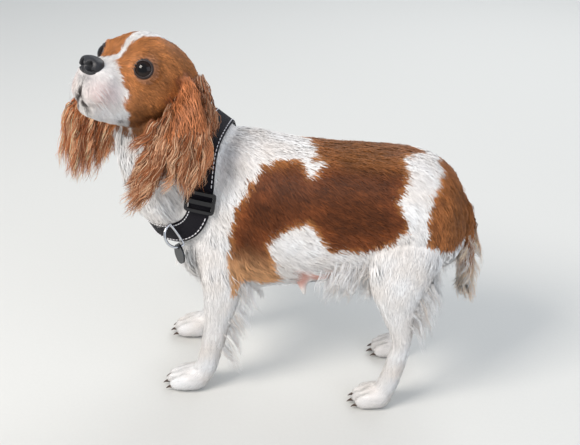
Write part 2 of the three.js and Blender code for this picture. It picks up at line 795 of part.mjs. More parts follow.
// What the collar presses out of the coat: the room of the strap, the slider and the D-ring, and all over
// them.
const PRESSED_DEPTH = 40;
function collarRoom() {
  const half = STRAP_WIDTH / 2 + GAP;
  const inner = -STRAP_THICKNESS / 2 - GAP;
  const corners = [[half, PRESSED_DEPTH], [-half, PRESSED_DEPTH], [-half, inner], [half, inner]];
  return joined([
    loopSolid(STRAP_STEPS, corners, strapFrame),
    overStrap(SLIDER_ANGLE, SLIDER_LENGTH + 1, SLIDER_WIDTH + 1, PRESSED_DEPTH),
    overStrap(RING_ANGLE, 16, 2 * (RING_RADIUS + RING_WIRE) + 1, PRESSED_DEPTH),
  ]);
}

// The D-ring: its straight bar lies across the strap and its round side hangs out and down in front of it.
const RING_AT = strapFrame(degrees(RING_ANGLE));
const RING_CENTRE = RING_AT.middle
  .clone()
  .addScaledVector(RING_AT.out, STRAP_THICKNESS / 2 + RING_BOW + GAP + RING_WIRE);
const RING_DROP = RING_AT.out.clone().addScaledVector(vec(0, 0, -1), 0.9);
RING_DROP.addScaledVector(RING_AT.across, -RING_DROP.dot(RING_AT.across)).normalize();
const RING_NORMAL = RING_AT.across.clone().cross(RING_DROP);

// The wire's middle line: a half circle, closed by a nearly straight bar.
const ringPoint = (angle) => {
  const rise = Math.sin(angle) * (Math.sin(angle) > 0 ? RING_RADIUS : RING_BOW);
  return RING_CENTRE.clone()
    .addScaledVector(RING_AT.across, RING_RADIUS * Math.cos(angle))
    .addScaledVector(RING_DROP, rise);
};

function ringNode() {
  const sides = 6;
  const corners = [...Array(sides).keys()].map((k) => {
    const turn = (k / sides) * Math.PI * 2;
    return [RING_WIRE * Math.cos(turn), RING_WIRE * Math.sin(turn)];
  });
  return loopSolid(24, corners, (angle) => {
    const run = ringPoint(angle + 0.05).sub(ringPoint(angle - 0.05)).normalize();
    const out = run.clone().cross(RING_NORMAL);
    return { middle: ringPoint(angle), out, across: RING_NORMAL };
  });
}

// The tag: a plain round disc, hung by its hole from the bow of the D-ring.
function tagNode() {
  let lowest = 0;
  for (let angle = 0; angle < Math.PI; angle += 0.02)
    if (ringPoint(angle).z < ringPoint(lowest).z) lowest = angle;
  const grip = ringPoint(lowest);
  const normal = ringPoint(lowest + 0.05).sub(ringPoint(lowest - 0.05)).normalize();
  const down = vec(0, 0, -1).addScaledVector(normal, normal.z).normalize();
  const drop = TAG_RADIUS - TAG_HOLE;
  const disc = new THREE.Shape();
  disc.absarc(0, -drop, TAG_RADIUS, 0, Math.PI * 2);
  const hole = new THREE.Path();
  hole.absarc(0, 0, TAG_HOLE, 0, Math.PI * 2);
  const lug = new THREE.Shape();
  lug.absarc(0, 0, TAG_HOLE + 1.6, 0, Math.PI * 2);
  const plate = (outline, segments) =>
    new THREE.ExtrudeGeometry(outline, {
      depth: TAG_THICKNESS,
      bevelEnabled: false,
      curveSegments: segments,
    });
  const place = new THREE.Matrix4().makeBasis(down.clone().cross(normal), down.clone().negate(), normal);
  place.setPosition(grip.addScaledVector(normal, -TAG_THICKNESS / 2));
  const placed = (geometry) => solidOf(geometry.applyMatrix4(place));
  const bore = plate(new THREE.Shape(hole.getPoints(5)), 5);
  bore.translate(0, 0, -TAG_THICKNESS / 2);
  bore.scale(1, 1, 3);
  return joined([placed(plate(disc, 14)), placed(plate(lug, 6))]).subtract(placed(bore));
}

const finish = (color, roughness, metalness = 0) =>
  new THREE.MeshStandardMaterial({ color, roughness, metalness });
const coatWhite = finish("#ece6dc", 0.85);
const coatChestnut = finish("#9a5a34", 0.8);
const noseLeather = finish("#2b2a2e", 0.45);
const eyeGlass = finish("#120d0c", 0.08);
const webbing = finish("#1c1a22", 0.75);
const steel = finish("#c9ccd0", 0.25, 1);
const tagGloss = finish("#15161c", 0.2);

function meshOf(name, solid, surface) {
  const made = solid.getMesh();
  const stride = made.numProp;
  const count = made.vertProperties.length / stride;
  const xyz = new Float32Array(count * 3);
  for (let i = 0; i < count; i++)
    xyz.set(made.vertProperties.subarray(i * stride, i * stride + 3), i * 3);
  const geometry = new THREE.BufferGeometry();
  geometry.setAttribute("position", new THREE.BufferAttribute(xyz, 3));
  geometry.setIndex(new THREE.BufferAttribute(made.triVerts, 1));
  geometry.computeVertexNormals();
  const mesh = new THREE.Mesh(geometry, surface);
  mesh.name = name;
  return mesh;
}

const dog = new THREE.Group();
const add = (name, solid, surface) => dog.add(meshOf(name, solid, surface));

// Teats under the belly, each a blunt cone from the skin down and outwards.
const TEATS = [vec(20, 42, 148), vec(74, 38, 152)];
const TEAT_RADIUS = 9;
const teatSolid = (at, side) =>
  bar(vec(at.x, side * (at.y - 3), at.z), vec(at.x + 3, side * (at.y + 2), at.z - 15), TEAT_RADIUS, 2.5, 8);
const teats = TEATS.flatMap((at) => [teatSolid(at, -1), teatSolid(at, 1)]);

const pressed = collarRoom();
const strapGrown = strapSolid(GAP);
const sliderGrown = overStrap(SLIDER_ANGLE, SLIDER_LENGTH + 1, SLIDER_WIDTH + 1, SLIDER_THICKNESS + 2);
const headGrown = headCutter(GAP);
const torsoGrown = joined([coated(torsoForm, torsoLocks, GAP), ...teats]);
const neckGrown = coated(neckForm, neckLocks, GAP);

add("torso", largest(joined([coated(torsoForm, torsoLocks), ...teats]).subtract(pressed)), coatWhite);
const neckCutters = joined([torsoGrown, headGrown, pressed]);
add("neck", largest(coated(neckForm, neckLocks).subtract(neckCutters)), coatWhite);
add("head", headNode(), coatChestnut);
add("nose", noseNode(), noseLeather);
add("eye_left", eyeNode(1), eyeGlass);
add("eye_right", eyeNode(-1), eyeGlass);
for (const [side, form] of Object.entries(earForms)) {
  const cup = ball(EAR_CUPS[side], 11, 10, 8);
  const around = joined([headGrown, neckGrown, strapGrown, sliderGrown, torsoGrown, cup]);
  add(`ear_${side}`, largest(coated(form, earLocks[side]).subtract(around)), coatChestnut);
}
for (const [name, form] of Object.entries(legForms)) {
  const leg = joined([coated(form, legLocks[name]), pawSolid(name)]).trimByPlane([0, 0, 1], 0);
  add(name, largest(leg.subtract(torsoGrown)), coatWhite);
}
add("tail", largest(coated(tailForm, tailLocks).subtract(torsoGrown)), coatChestnut);
add("collar_strap", strapSolid(), webbing);
add("collar_slider", sliderNode(), webbing);
add("d_ring", ringNode(), steel);
add("tag", tagNode(), tagGloss);

// The origin is at the middle of the underside of the whole dog's box.
const box = new THREE.Box3().setFromObject(dog);
dog.position.set(-(box.min.x + box.max.x) / 2, -(box.min.y + box.max.y) / 2, -box.min.z);

export default dog;
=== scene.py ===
"""The looks of a standing Cavalier King Charles spaniel: one skin, solid tufts of coat over it, eyes, nose,
lids, lips, claws and a webbing collar. Lengths in the tables are millimetres in the dog's own frame: +Z is
up, the dog faces -X and its left side is -Y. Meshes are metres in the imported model's frame."""

import math
from collections import namedtuple

import bpy
import numpy as np
from mathutils import Matrix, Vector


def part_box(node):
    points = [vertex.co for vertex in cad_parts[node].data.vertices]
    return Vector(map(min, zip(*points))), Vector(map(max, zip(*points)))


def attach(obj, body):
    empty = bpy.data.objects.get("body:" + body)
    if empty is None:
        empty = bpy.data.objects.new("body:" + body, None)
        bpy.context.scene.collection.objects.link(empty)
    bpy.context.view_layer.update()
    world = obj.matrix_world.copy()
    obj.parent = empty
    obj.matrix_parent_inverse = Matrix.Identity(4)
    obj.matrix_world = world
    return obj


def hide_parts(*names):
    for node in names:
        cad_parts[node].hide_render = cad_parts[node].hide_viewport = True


bl_info = {
    "name": "Spaniel with collar",
    "version": (1, 0, 0),
    "blender": (4, 5, 0),
    "location": "View3D > Sidebar > Spaniel",
    "description": "Skin, coat, face and collar of a standing spaniel over its packed solids",
    "category": "Object",
}

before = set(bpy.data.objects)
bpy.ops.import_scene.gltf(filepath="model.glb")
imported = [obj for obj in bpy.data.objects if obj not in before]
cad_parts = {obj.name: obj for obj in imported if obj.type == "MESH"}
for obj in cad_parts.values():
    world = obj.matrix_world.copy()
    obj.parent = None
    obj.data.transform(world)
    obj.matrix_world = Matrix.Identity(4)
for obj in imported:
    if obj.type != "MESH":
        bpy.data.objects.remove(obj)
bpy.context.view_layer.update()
MM = 0.001


def unit(v):
    """Vectors along the last axis, each divided by its length."""
    return v / np.maximum(np.linalg.norm(v, axis=-1, keepdims=True), 1e-12)


def linear(code):
    """The linear red, green and blue of an sRGB hex colour: ((s + 0.055) / 1.055) to the power 2.4."""
    s = np.array([int(code[k : k + 2], 16) for k in (1, 3, 5)]) / 255
    return np.where(s <= 0.04045, s / 12.92, ((s + 0.055) / 1.055) ** 2.4)


def smoothstep(low, high, x):
    """0 below low, 1 above high, and 3u^2 - 2u^3 between."""
    u = np.clip((x - low) / (high - low), 0, 1)
    return u * u * (3 - 2 * u)


def blend(a, b, share):
    """a where share is 0 and b where it is 1."""
    return a + (b - a) * share


def tinted(rows, other, share):
    """Rows blended towards another colour by a share for each row."""
    return blend(rows, other, share[:, None])


def bell(x, width):
    """exp(-(x / width)^2)."""
    return np.exp(-((x / width) ** 2))


def blob(points, middle, reach):
    """exp(-d^2), with d the distance from the middle after each axis is divided by its reach."""
    return np.exp(-np.sum(((points - middle) / reach) ** 2, 1))


# The head's own frame: forward, left and up from the point midway between the eyes, turned and tipped by
# these.
HEAD_AT = np.array([-162, -40, 383.4])
HEAD_YAW = 54.3
HEAD_PITCH = 23.8
HEAD_ROLL = -1.8


def head_axes():
    """Three unit rows, each turned about an axis k by v cos a + (k x v) sin a + k (k . v)(1 - cos a)."""
    axes = np.array([[-1.0, 0, 0], [0, -1, 0], [0, 0, 1]])
    for row, turn in ((2, HEAD_YAW), (1, -HEAD_PITCH), (0, HEAD_ROLL)):
        k = axes[row].copy()
        a = math.radians(turn)
        along = (axes @ k)[:, None] * k
        axes = axes * math.cos(a) + np.cross(k, axes) * math.sin(a) + along * (1 - math.cos(a))
    return axes


HEAD_AXES = head_axes()
FORWARD, LEFT, UP = HEAD_AXES


def in_head(points):
    """Points [forward, left, up] of the head's frame, in the dog's frame."""
    return HEAD_AT + np.asarray(points, float) @ HEAD_AXES


def to_head(points):
    """Points of the dog's frame as [forward, left, up] in the head's frame."""
    return (points - HEAD_AT) @ HEAD_AXES.T


EYE_RADIUS = 11.5
EYE_SPACING = 64
EYE_SET_BACK = 2.5
EYE_TURNS = {1: 38, -1: 26}  # degrees outwards, of the left and the right eye
SIDES = {"left": 1, "right": -1}


def eye_centre(sign):
    """The middle of an eyeball; sign is 1 for the left eye and -1 for the right."""
    return in_head([-EYE_SET_BACK, sign * EYE_SPACING / 2, 0])


def eye_gaze(sign):
    """The direction in which an eye looks: outwards by its turn and a little up."""
    turn = math.radians(EYE_TURNS[sign])
    return unit(np.array([math.cos(turn), sign * math.sin(turn), 0.12]) @ HEAD_AXES)


def from_eye(points, sign):
    """How far each point lies out from an eye's middle along its gaze, and how far from the line of the
    gaze."""
    gaze = eye_gaze(sign)
    offset = points - eye_centre(sign)
    depth = offset @ gaze
    return depth, np.linalg.norm(offset - depth[:, None] * gaze, axis=1)


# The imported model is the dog's frame moved by PLACE, found from the middle of the solid left eye.
SOLID_EYE = in_head([-6.5, 27.5, 0])
PLACE = np.mean(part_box("eye_left"), axis=0) - SOLID_EYE * MM


def packed(points):
    """Points in millimetres of the dog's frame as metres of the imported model's frame."""
    return np.asarray(points, float) * MM + PLACE


def catmull(rows, t):
    """A uniform Catmull-Rom curve through the rows at t from 0 to 1, its ends carried on straight."""
    v = np.asarray(rows, float)
    v = np.vstack([2 * v[0] - v[1], v, 2 * v[-1] - v[-2]])
    x = np.clip(t, 0, 1) * (len(v) - 3)
    i = np.minimum(x.astype(int), len(v) - 4)
    w = (x - i)[..., None]
    a, b, c, d = v[i], v[i + 1], v[i + 2], v[i + 3]
    cubic = (3 * b - a - 3 * c + d) * w**3
    return 0.5 * (2 * b + (c - a) * w + (2 * a - 5 * b + 4 * c - d) * w**2 + cubic)


class Form:
    """A round form along a smooth spine, as in the solids. The ring at t is middle + side |cos a|^p w +
    up |sin a|^p h with the signs of cos and sin, p = 2 / square, closed at the ends over `caps`, with bumps
    [point, radius, push] that add push exp(-distance^2 / radius^2)."""

    def __init__(self, stations, reference, square=2.2, caps=(0.15, 0.15), axis=None, bumps=()):
        rows = np.array(stations, float)
        self.spine = rows[:, :3]
        self.sizes = rows[:, 3:]
        self.reference = np.array(reference, float)
        self.square = square
        self.caps = caps
        self.axis = axis
        self.bumps = bumps

    def frame(self, t):
        """Middle, tangent, side and up of the ring at t."""
        step = 0.002
        middle = catmull(self.spine, t)
        if self.axis is None:
            ahead = catmull(self.spine, np.minimum(1, t + step))
            tangent = unit(ahead - catmull(self.spine, np.maximum(0, t - step)))
        else:
            tangent = np.broadcast_to(np.array(self.axis, float), middle.shape)
        side = unit(np.cross(tangent, self.reference))
        return middle, tangent, side, np.cross(side, tangent)

    def surface(self, t, a, push=0.0):
        """Points at t along the spine and a round it, the rings made wider by push."""
        t, a = np.broadcast_arrays(np.asarray(t, float), np.asarray(a, float))
        middle, _, side, up = self.frame(t)
        size = np.maximum(catmull(self.sizes, t) + push, 1.0)
        c, s = np.cos(a), np.sin(a)
        power = 2 / self.square
        near = np.clip(1 - t / self.caps[0], 0, 1)
        far = np.clip(1 - (1 - t) / self.caps[1], 0, 1)
        close = np.sqrt(1 - near**2) * np.sqrt(1 - far**2)
        across = np.sign(c) * np.abs(c) ** power * size[..., 0] * close
        rise = np.sign(s) * np.abs(s) ** power * np.where(s > 0, size[..., 1], size[..., 2]) * close
        p = middle + side * across[..., None] + up * rise[..., None]
        for at, radius, bump in self.bumps:
            swell = np.exp(-np.sum((p - at) ** 2, axis=-1) / radius**2)
            p = p + swell[..., None] * bump
        return p

    def grid(self, rows, columns, push=0.0):
        """Surface points on a grid of t by a, with the poles as its first and last rows."""
        t = np.linspace(0, 1, rows)[:, None]
        a = np.linspace(0, 2 * np.pi, columns, endpoint=False)[None, :]
        return self.surface(t, a, push)


def head_rows(stations):
    """Stations [forward, up, half width, reach up, reach down] of the head as rows in the dog's frame."""
    s = np.array(stations, float)
    return np.hstack([in_head(np.column_stack([s[:, 0], 0 * s[:, 0], s[:, 1]])), s[:, 2:]])


def head_bumps(bumps):
    """Bumps given in the head's frame, in the dog's frame."""
    return [(in_head(at), radius, np.array(push) @ HEAD_AXES) for at, radius, push in bumps]


TORSO = Form(
    [
        [-126, 0, 168, 22, 20, 26], [-117, 0, 174, 36, 38, 42], [-101, 0, 190, 50, 66, 66],
        [-76, 0, 208, 65, 92, 89], [-45, 0, 210, 70, 93, 92], [-5, 0, 213, 72, 83, 86],
        [40, 0, 217, 71, 76, 83], [82, 0, 222, 67, 72, 77], [122, 0, 226, 65, 67, 72],
        [153, 0, 224, 60, 61, 62], [176, 0, 217, 49, 50, 50], [193, 0, 208, 32, 33, 34],
    ],
    (0, 0, 1),
    square=2.3,
    caps=(0.14, 0.12),
    axis=(1, 0, 0),
)
NECK = Form(
    [
        [-78, 0, 186, 52, 56, 40], [-97, 0, 215, 57, 66, 46], [-115, -3, 247, 56, 71, 46],
        [-128, -9, 281, 52, 64, 51], [-137, -14, 314, 48, 54, 57], [-142, -17, 345, 42, 42, 56],
    ],
    (-1, 0, 0),
    caps=(0.2, 0.2),
)
SKULL = Form(
    head_rows(
        [
            [-90, -18, 24, 20, 24], [-76, -14, 37, 32, 34], [-58, -11, 44, 39, 43], [-40, -10, 47, 44.5, 49],
            [-22, -10, 46, 46, 50], [-8, -12, 42, 43, 48], [2, -15, 38.5, 35, 43], [12, -19, 30, 25, 37],
            [23, -20, 26, 21, 34], [34, -20, 24.5, 18, 33], [43, -21, 20, 16, 29], [48, -21, 15, 13, 23],
        ]
    ),
    UP,
    square=2.3,
    caps=(0.13, 0.09),
    axis=FORWARD,
    bumps=head_bumps(
        [
            ([5, 25, 9], 13, [3, 2, 5]), ([5, -27, 11], 12, [1, -2, 4]), ([34, 22, -38], 13, [2, 2.5, -2]),
            ([34, -22, -38], 13, [2, -2.5, -2]), ([10, -4, 8], 12, [-4, 0, -4]),
        ]
    ),
)
JAW = Form(
    head_rows(
        [
            [-44, -44, 30, 14, 16], [-24, -50, 27, 12, 14], [-4, -53, 21, 10, 12], [14, -54, 18, 9, 10.5],
            [30, -54, 16, 8, 8.5], [40, -52, 12, 6, 6.5],
        ]
    ),
    UP,
    square=2.3,
    caps=(0.2, 0.16),
    axis=FORWARD,
)
NOSE = Form(
    head_rows([
        [27, -9, 9, 5, 6], [33, -10, 14.5, 8, 8.5], [40, -11.5, 15, 8.5, 9.5], [46, -12.5, 10, 6.5, 7.5],
    ]),
    UP,
    square=2.5,
    caps=(0.25, 0.32),
    axis=FORWARD,
)


def ear_root(sign):
    """Where an ear grows from the skull."""
    return list(in_head([-50, sign * 36, -4]))


LEATHERS = {
    "left": Form(
        [
            [*ear_root(1), 15, 6, 6],
            [-96, -50, 352, 16, 5, 5], [-91, -64, 333, 19, 4, 4], [-96, -71, 308, 20, 4, 4],
            [-106, -73, 284, 13, 4, 4],
        ],
        (0, -1, 0),
        square=2,
        caps=(0.12, 0.3),
    ),
    "right": Form(
        [
            [*ear_root(-1), 15, 6, 6],
            [-191, 24, 350, 16, 5, 5], [-212, 21, 328, 20, 4, 4], [-226, 15, 304, 20, 4, 4],
            [-232, 12, 280, 13, 4, 4],
        ],
        (-0.7, 0.7, 0),
        square=2,
        caps=(0.12, 0.3),
    ),
}
TAIL = Form(
    [
        [165, 0, 244, 12, 12, 12], [181, 0, 240, 12, 12, 12], [192, 0, 224, 12, 11, 12],
        [196, 0, 200, 12, 11, 14], [196, -1, 170, 12, 10, 14], [195, -2, 146, 8, 8, 9],
    ],
    (1, 0, 0.3),
    square=2,
    caps=(0.12, 0.2),
)
# Each leg: the x and y of its stations from the body down, with the heights and ring sizes of its kind.
FRONT_HEIGHTS = [205, 165, 130, 95, 60, 30, 12]
FRONT_RINGS = [
    [20, 32, 28], [19, 27, 27], [17, 22, 24], [14.5, 16.5, 18], [13.5, 15, 15], [14, 15, 14], [15, 16, 13],
]
HIND_HEIGHTS = [222, 188, 155, 122, 92, 60, 32, 12]
HIND_RINGS = [
    [22, 42, 40], [23, 40, 38], [20, 31, 32], [15, 19, 20], [12.5, 13, 13], [12.5, 13, 13], [13, 14, 13],
    [14, 15, 13],
]
LEG_LINES = {
    "front_leg_left": ([-72, -68, -68, -73, -80, -88, -96], [-40, -50, -54, -55, -55, -55, -55]),
    "front_leg_right": ([-74, -72, -76, -87, -99, -110, -118], [40, 50, 53, 53, 53, 53, 53]),
    "hind_leg_left": ([138, 130, 125, 128, 133, 128, 121, 114], [-38, -48, -54, -55, -55, -54, -53, -52]),
    "hind_leg_right": ([142, 138, 135, 139, 145, 140, 133, 126], [38, 48, 53, 53, 52, 51, 50, 50]),
}


def leg_form(name):
    """A leg's round form from its line, heights and rings."""
    heights, rings = (HIND_HEIGHTS, HIND_RINGS) if name.startswith("hind") else (FRONT_HEIGHTS, FRONT_RINGS)
    return Form(np.column_stack([*LEG_LINES[name], heights, rings]), (-1, 0, 0), caps=(0.12, 0.1))


LEGS = {name: leg_form(name) for name in LEG_LINES}
# Each paw: its middle, then its length and width.
PAWS = {
    "front_leg_left": ((-106, -55, 12), 50, 21),
    "front_leg_right": ((-129, 52, 12), 50, 21),
    "hind_leg_left": ((107, -52, 11), 46, 19),
    "hind_leg_right": ((119, 50, 11), 46, 19),
}
# Each toe: how far across the paw it stands and how far forward it reaches, as shares of its width and
# length.
TOES = ((-0.72, 0.44), (-0.27, 0.56), (0.27, 0.56), (0.72, 0.44))


def paw_forms(name):
    """A paw's pad and its four toes."""
    (x, y, z), length, width = PAWS[name]
    pad = [
        [x + length * 0.42, y, z + 1, width * 0.62, 13, 13],
        [x + length * 0.15, y, z + 2, width * 0.88, 16, 14], [x - length * 0.15, y, z, width, 13, 13],
        [x - length * 0.36, y, z - 2, width * 0.8, 9, 11],
    ]
    forms = [Form(pad, (0, 0, 1), square=2.4, caps=(0.3, 0.2))]
    for across, reach in TOES:
        toe = [
            [x - length * (reach - 0.4), y + across * width * 0.86, z + 1, 5.2, 9, 10],
            [x - length * (reach - 0.14), y + across * width, z - 1, 5.8, 8.5, 10],
            [x - length * reach, y + across * width * 1.04, z - 4.5, 4.8, 5.5, 6.5],
        ]
        forms.append(Form(toe, (0, 0, 1), caps=(0.3, 0.35)))
    return forms


TEATS = [(20, 42, 148), (74, 38, 152)]


def teat_forms():
    """Blunt cones under the belly, from the skin down and outwards."""
    forms = []
    for x, y, z in TEATS:
        for side in (-1, 1):
            rows = [
                [x, side * (y - 4), z + 6, 11, 11, 11], [x + 1, side * (y - 1), z - 5, 6, 6, 6],
                [x + 3, side * (y + 1), z - 13, 4, 4, 4], [x + 4, side * (y + 2), z - 19, 2.6, 2.6, 2.6],
            ]
            forms.append(Form(rows, (1, 0, 0), square=2, caps=(0.1, 0.2)))
    return forms


# Each part of the flesh: its region, its forms and how deep the coat lies over it.
def flesh_parts():
    """Rows of region name, forms and coat depth in millimetres."""
    parts = [
        ("torso", [TORSO], 4.0),
        ("neck", [NECK], 5.0),
        ("head", [SKULL, JAW], 1.5),
        ("ear_left", [LEATHERS["left"]], 0.5),
        ("ear_right", [LEATHERS["right"]], 0.5),
        ("tail", [TAIL], 7.0),
        ("teats", teat_forms(), 0.5),
    ]
    parts += [(name, [form], 2.5) for name, form in LEGS.items()]
    parts += [("paw_" + name, paw_forms(name), 1.0) for name in PAWS]
    return parts


# Meshes


def closed_triangles(rows, columns):
    """Triangles of a grid whose rows are closed rings, with a fan at each end round one added point."""
    k = np.arange(columns)
    n = (k + 1) % columns
    lower = (np.arange(rows - 1) * columns)[:, None]
    a, b = lower + k, lower + n
    c, d = b + columns, a + columns
    walls = np.concatenate([np.stack([a, b, c], -1), np.stack([a, c, d], -1)]).reshape(-1, 3)
    first, last = rows * columns, rows * columns + 1
    top = (rows - 1) * columns
    start = np.stack([n, k, np.full(columns, first)], -1)
    end = np.stack([top + k, top + n, np.full(columns, last)], -1)
    return np.concatenate([walls, start, end])


def outward(points, triangles):
    """The triangles, turned round where the volume that they enclose comes out negative."""
    a, b, c = (points[triangles[:, k]] for k in range(3))
    volume = np.sum(a * np.cross(b, c))
    return triangles if volume > 0 else triangles[:, ::-1]


def closed_grid(grid):
    """Points and triangles of a closed body from a grid whose end rows are poles."""
    rows, columns = grid.shape[:2]
    inner = grid[1:-1].reshape(-1, 3)
    points = np.vstack([inner, grid[0].mean(0), grid[-1].mean(0)])
    return points, outward(points, closed_triangles(rows - 2, columns))


def gathered(bodies):
    """Points and triangles of several bodies as one pair."""
    starts = np.cumsum([0] + [len(points) for points, _ in bodies])
    points = np.vstack([points for points, _ in bodies])
    triangles = np.vstack([faces + start for (_, faces), start in zip(bodies, starts)])
    return points, triangles


def add_object(name, data):
    """A new object in the scene."""
    thing = bpy.data.objects.new(name, data)
    bpy.context.scene.collection.objects.link(thing)
    return thing


def read(items, key, width, kind=np.float32):
    """One property of all items of a mesh's collection, as rows of `width` numbers."""
    values = np.empty(len(items) * width, kind)
    items.foreach_get(key, values)
    return values.reshape(-1, width)


def write(items, key, values, kind=np.float32):
    """Writes one property of all items of a mesh's collection."""
    items.foreach_set(key, np.asarray(values).astype(kind).ravel())


def make_piece(name, points, triangles, material, colours=None, uvs=None, normals=None):
    """A mesh object from points in millimetres of the dog's frame, riding on the still body. Given normals
    are the shading normals of its points."""
    mesh = bpy.data.meshes.new(name)
    mesh.vertices.add(len(points))
    write(mesh.vertices, "co", packed(points))
    mesh.loops.add(len(triangles) * 3)
    write(mesh.loops, "vertex_index", triangles, np.int32)
    mesh.polygons.add(len(triangles))
    write(mesh.polygons, "loop_start", np.arange(0, len(triangles) * 3, 3), np.int32)
    write(mesh.polygons, "use_smooth", np.ones(len(triangles)), bool)
    mesh.update(calc_edges=True)
    if colours is not None:
        set_colours(mesh, colours)
    if normals is not None:
        write(mesh.attributes.new("custom_normal", "FLOAT_VECTOR", "POINT").data, "vector", normals)
    if uvs is not None:
        write(mesh.uv_layers.new(name="OFBake").data, "uv", uvs[triangles.ravel()])
    piece = add_object(name, mesh)
    mesh.materials.append(material)
    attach(piece, "root")
    return piece


def set_colours(mesh, colours):
    """Writes linear colours, one row for each point, to the mesh's Coat attribute."""
    layer = mesh.attributes.new("Coat", "FLOAT_COLOR", "POINT")
    write(layer.data, "color", np.column_stack([colours, np.ones(len(colours))]))


def noise(points, scale, seed, octaves=2):
    """Smooth noise from -1 to 1: sums of sines along seeded directions, with wavelengths near `scale` mm."""
    random = np.random.default_rng(seed)
    total = np.zeros(len(points))
    weight = 0
    for octave in range(octaves):
        for _ in range(5):
            wave = unit(random.normal(size=3)) * 2 * np.pi / scale * 1.9**octave * random.uniform(0.7, 1.4)
            total += np.sin(points @ wave + random.uniform(0, 2 * np.pi)) * 0.6**octave
            weight += 0.6**octave
    return total / weight * 1.8


def tube(path, radii, columns=8, flat=1.0, normal=(0, 0, 1.0)):
    """A closed tube along a path: rings of radius r, squashed by `flat` along the given normal."""
    path = np.asarray(path, float)
    tangent = unit(np.gradient(path, axis=0))
    side = unit(np.cross(tangent, np.broadcast_to(np.asarray(normal, float), path.shape)))
    up = np.cross(side, tangent)
    a = np.linspace(0, 2 * np.pi, columns, endpoint=False)
    ring = np.cos(a)[None, :, None] * side[:, None] + flat * np.sin(a)[None, :, None] * up[:, None]
    grid = path[:, None] + ring * np.asarray(radii, float)[:, None, None]
    first, last = path[:1, None].repeat(columns, 1), path[-1:, None].repeat(columns, 1)
    return closed_grid(np.concatenate([first, grid, last]))


def loop_band(steps, section, frame_at):
    """A closed band: the section's [across, out] points carried round a closed path."""
    middle, out, across = frame_at(np.linspace(0, 2 * np.pi, steps, endpoint=False))
    s = np.asarray(section, float)
    points = middle[:, None] + across[:, None] * s[None, :, :1] + out[:, None] * s[None, :, 1:]
    n = len(s)
    i, j = np.meshgrid(np.arange(steps), np.arange(n), indexing="ij")
    a, b = i * n + j, i * n + (j + 1) % n
    c, d = ((i + 1) % steps) * n + (j + 1) % n, ((i + 1) % steps) * n + j
    faces = np.concatenate([np.stack([a, b, c], -1), np.stack([a, c, d], -1)]).reshape(-1, 3)
    points = points.reshape(-1, 3)
    return points, outward(points, faces)


def ball(centre, radius, rows, columns, pole):
    """A sphere with its poles along the given direction."""
    side = unit(np.cross(pole, [0.3, 0.9, 0.1]))
    other = np.cross(pole, side)
    t = np.linspace(0, np.pi, rows)[:, None, None]
    a = np.linspace(0, 2 * np.pi, columns, endpoint=False)[None, :, None]
    around = side * np.cos(a) + other * np.sin(a)
    return closed_grid(centre + radius * (pole * np.cos(t) + np.sin(t) * around))


# Markings: patches of chestnut on white. Each torso patch is a closed outline of [x, angle over the back],
# where the angle is 0 level with the middle of the side, 90 along the spine and -90 under the belly.
SADDLE_NEAR = [
    (34, 118), (70, 116), (115, 112), (138, 99), (113, 77), (122, 63), (121, 52), (115, 38), (126, 25),
    (127, 15), (116, 5), (88, -7), (46, -10), (37, 2), (26, 18), (-1, 7), (-16, -6), (-6, -42), (-27, -52),
    (-52, -50), (-57, -29), (-57, 0), (-49, 27), (-34, 48), (-27, 60), (-2, 67), (10, 69), (23, 54),
    (36, 68), (36, 92),
]
SADDLE_FAR = [
    (24, 112), (68, 112), (112, 108), (118, 84), (104, 66), (111, 40), (98, 12), (74, -8), (48, 2), (30, -18),
    (2, -30), (-26, -22), (-44, 4), (-60, 30), (-44, 52), (-18, 60), (4, 76), (18, 88),
]
RUMP_NEAR = [
    (160, 112), (156, 84), (155, 64), (149, 45), (147, 27), (149, 12), (153, 1), (168, -8), (188, -16),
    (215, -10), (225, 60), (215, 112),
]
RUMP_FAR = [
    (158, 110), (150, 80), (156, 52), (142, 30), (146, 8), (160, -4), (190, -14), (215, -6), (225, 60),
    (215, 110),
]
SPINE_HEIGHT = 215
MM_PER_DEGREE = 1.25  # across the torso's side, for each degree of angle


def inside_distance(points, outline):
    """Distance from each 2-D point to a closed outline, positive inside. A point is inside where a ray along
    the first axis crosses the outline an odd number of times."""
    corners = np.array(outline, float)
    nexts = np.roll(corners, -1, axis=0)
    edge = nexts - corners
    offset = points[:, None] - corners[None]
    along = np.clip(np.sum(offset * edge, -1) / np.sum(edge * edge, -1), 0, 1)
    gap = np.linalg.norm(offset - along[..., None] * edge, axis=-1).min(1)
    y, x = points[:, 1:2], points[:, :1]
    crosses = (corners[:, 1] > y) != (nexts[:, 1] > y)
    rise = np.where(np.abs(edge[:, 1]) < 1e-9, 1e-9, edge[:, 1])
    where = corners[:, 0] + (y - corners[:, 1]) * edge[:, 0] / rise
    odd = np.sum(crosses & (x < where), axis=1) % 2 == 1
    return np.where(odd, gap, -gap)


def torso_patch(points):
    """How far inside a chestnut patch of the torso each point lies, in mm, negative outside."""
    depth = np.full(len(points), -99.0)
    for sign, outlines in ((-1, (SADDLE_NEAR, RUMP_NEAR)), (1, (SADDLE_FAR, RUMP_FAR))):
        angle = np.degrees(np.arctan2(points[:, 2] - SPINE_HEIGHT, sign * points[:, 1]))
        flat = np.column_stack([points[:, 0], angle * MM_PER_DEGREE])
        for outline in outlines:
            scaled = np.array(outline) * [1, MM_PER_DEGREE]
            depth = np.maximum(depth, inside_distance(flat, scaled))
    return depth


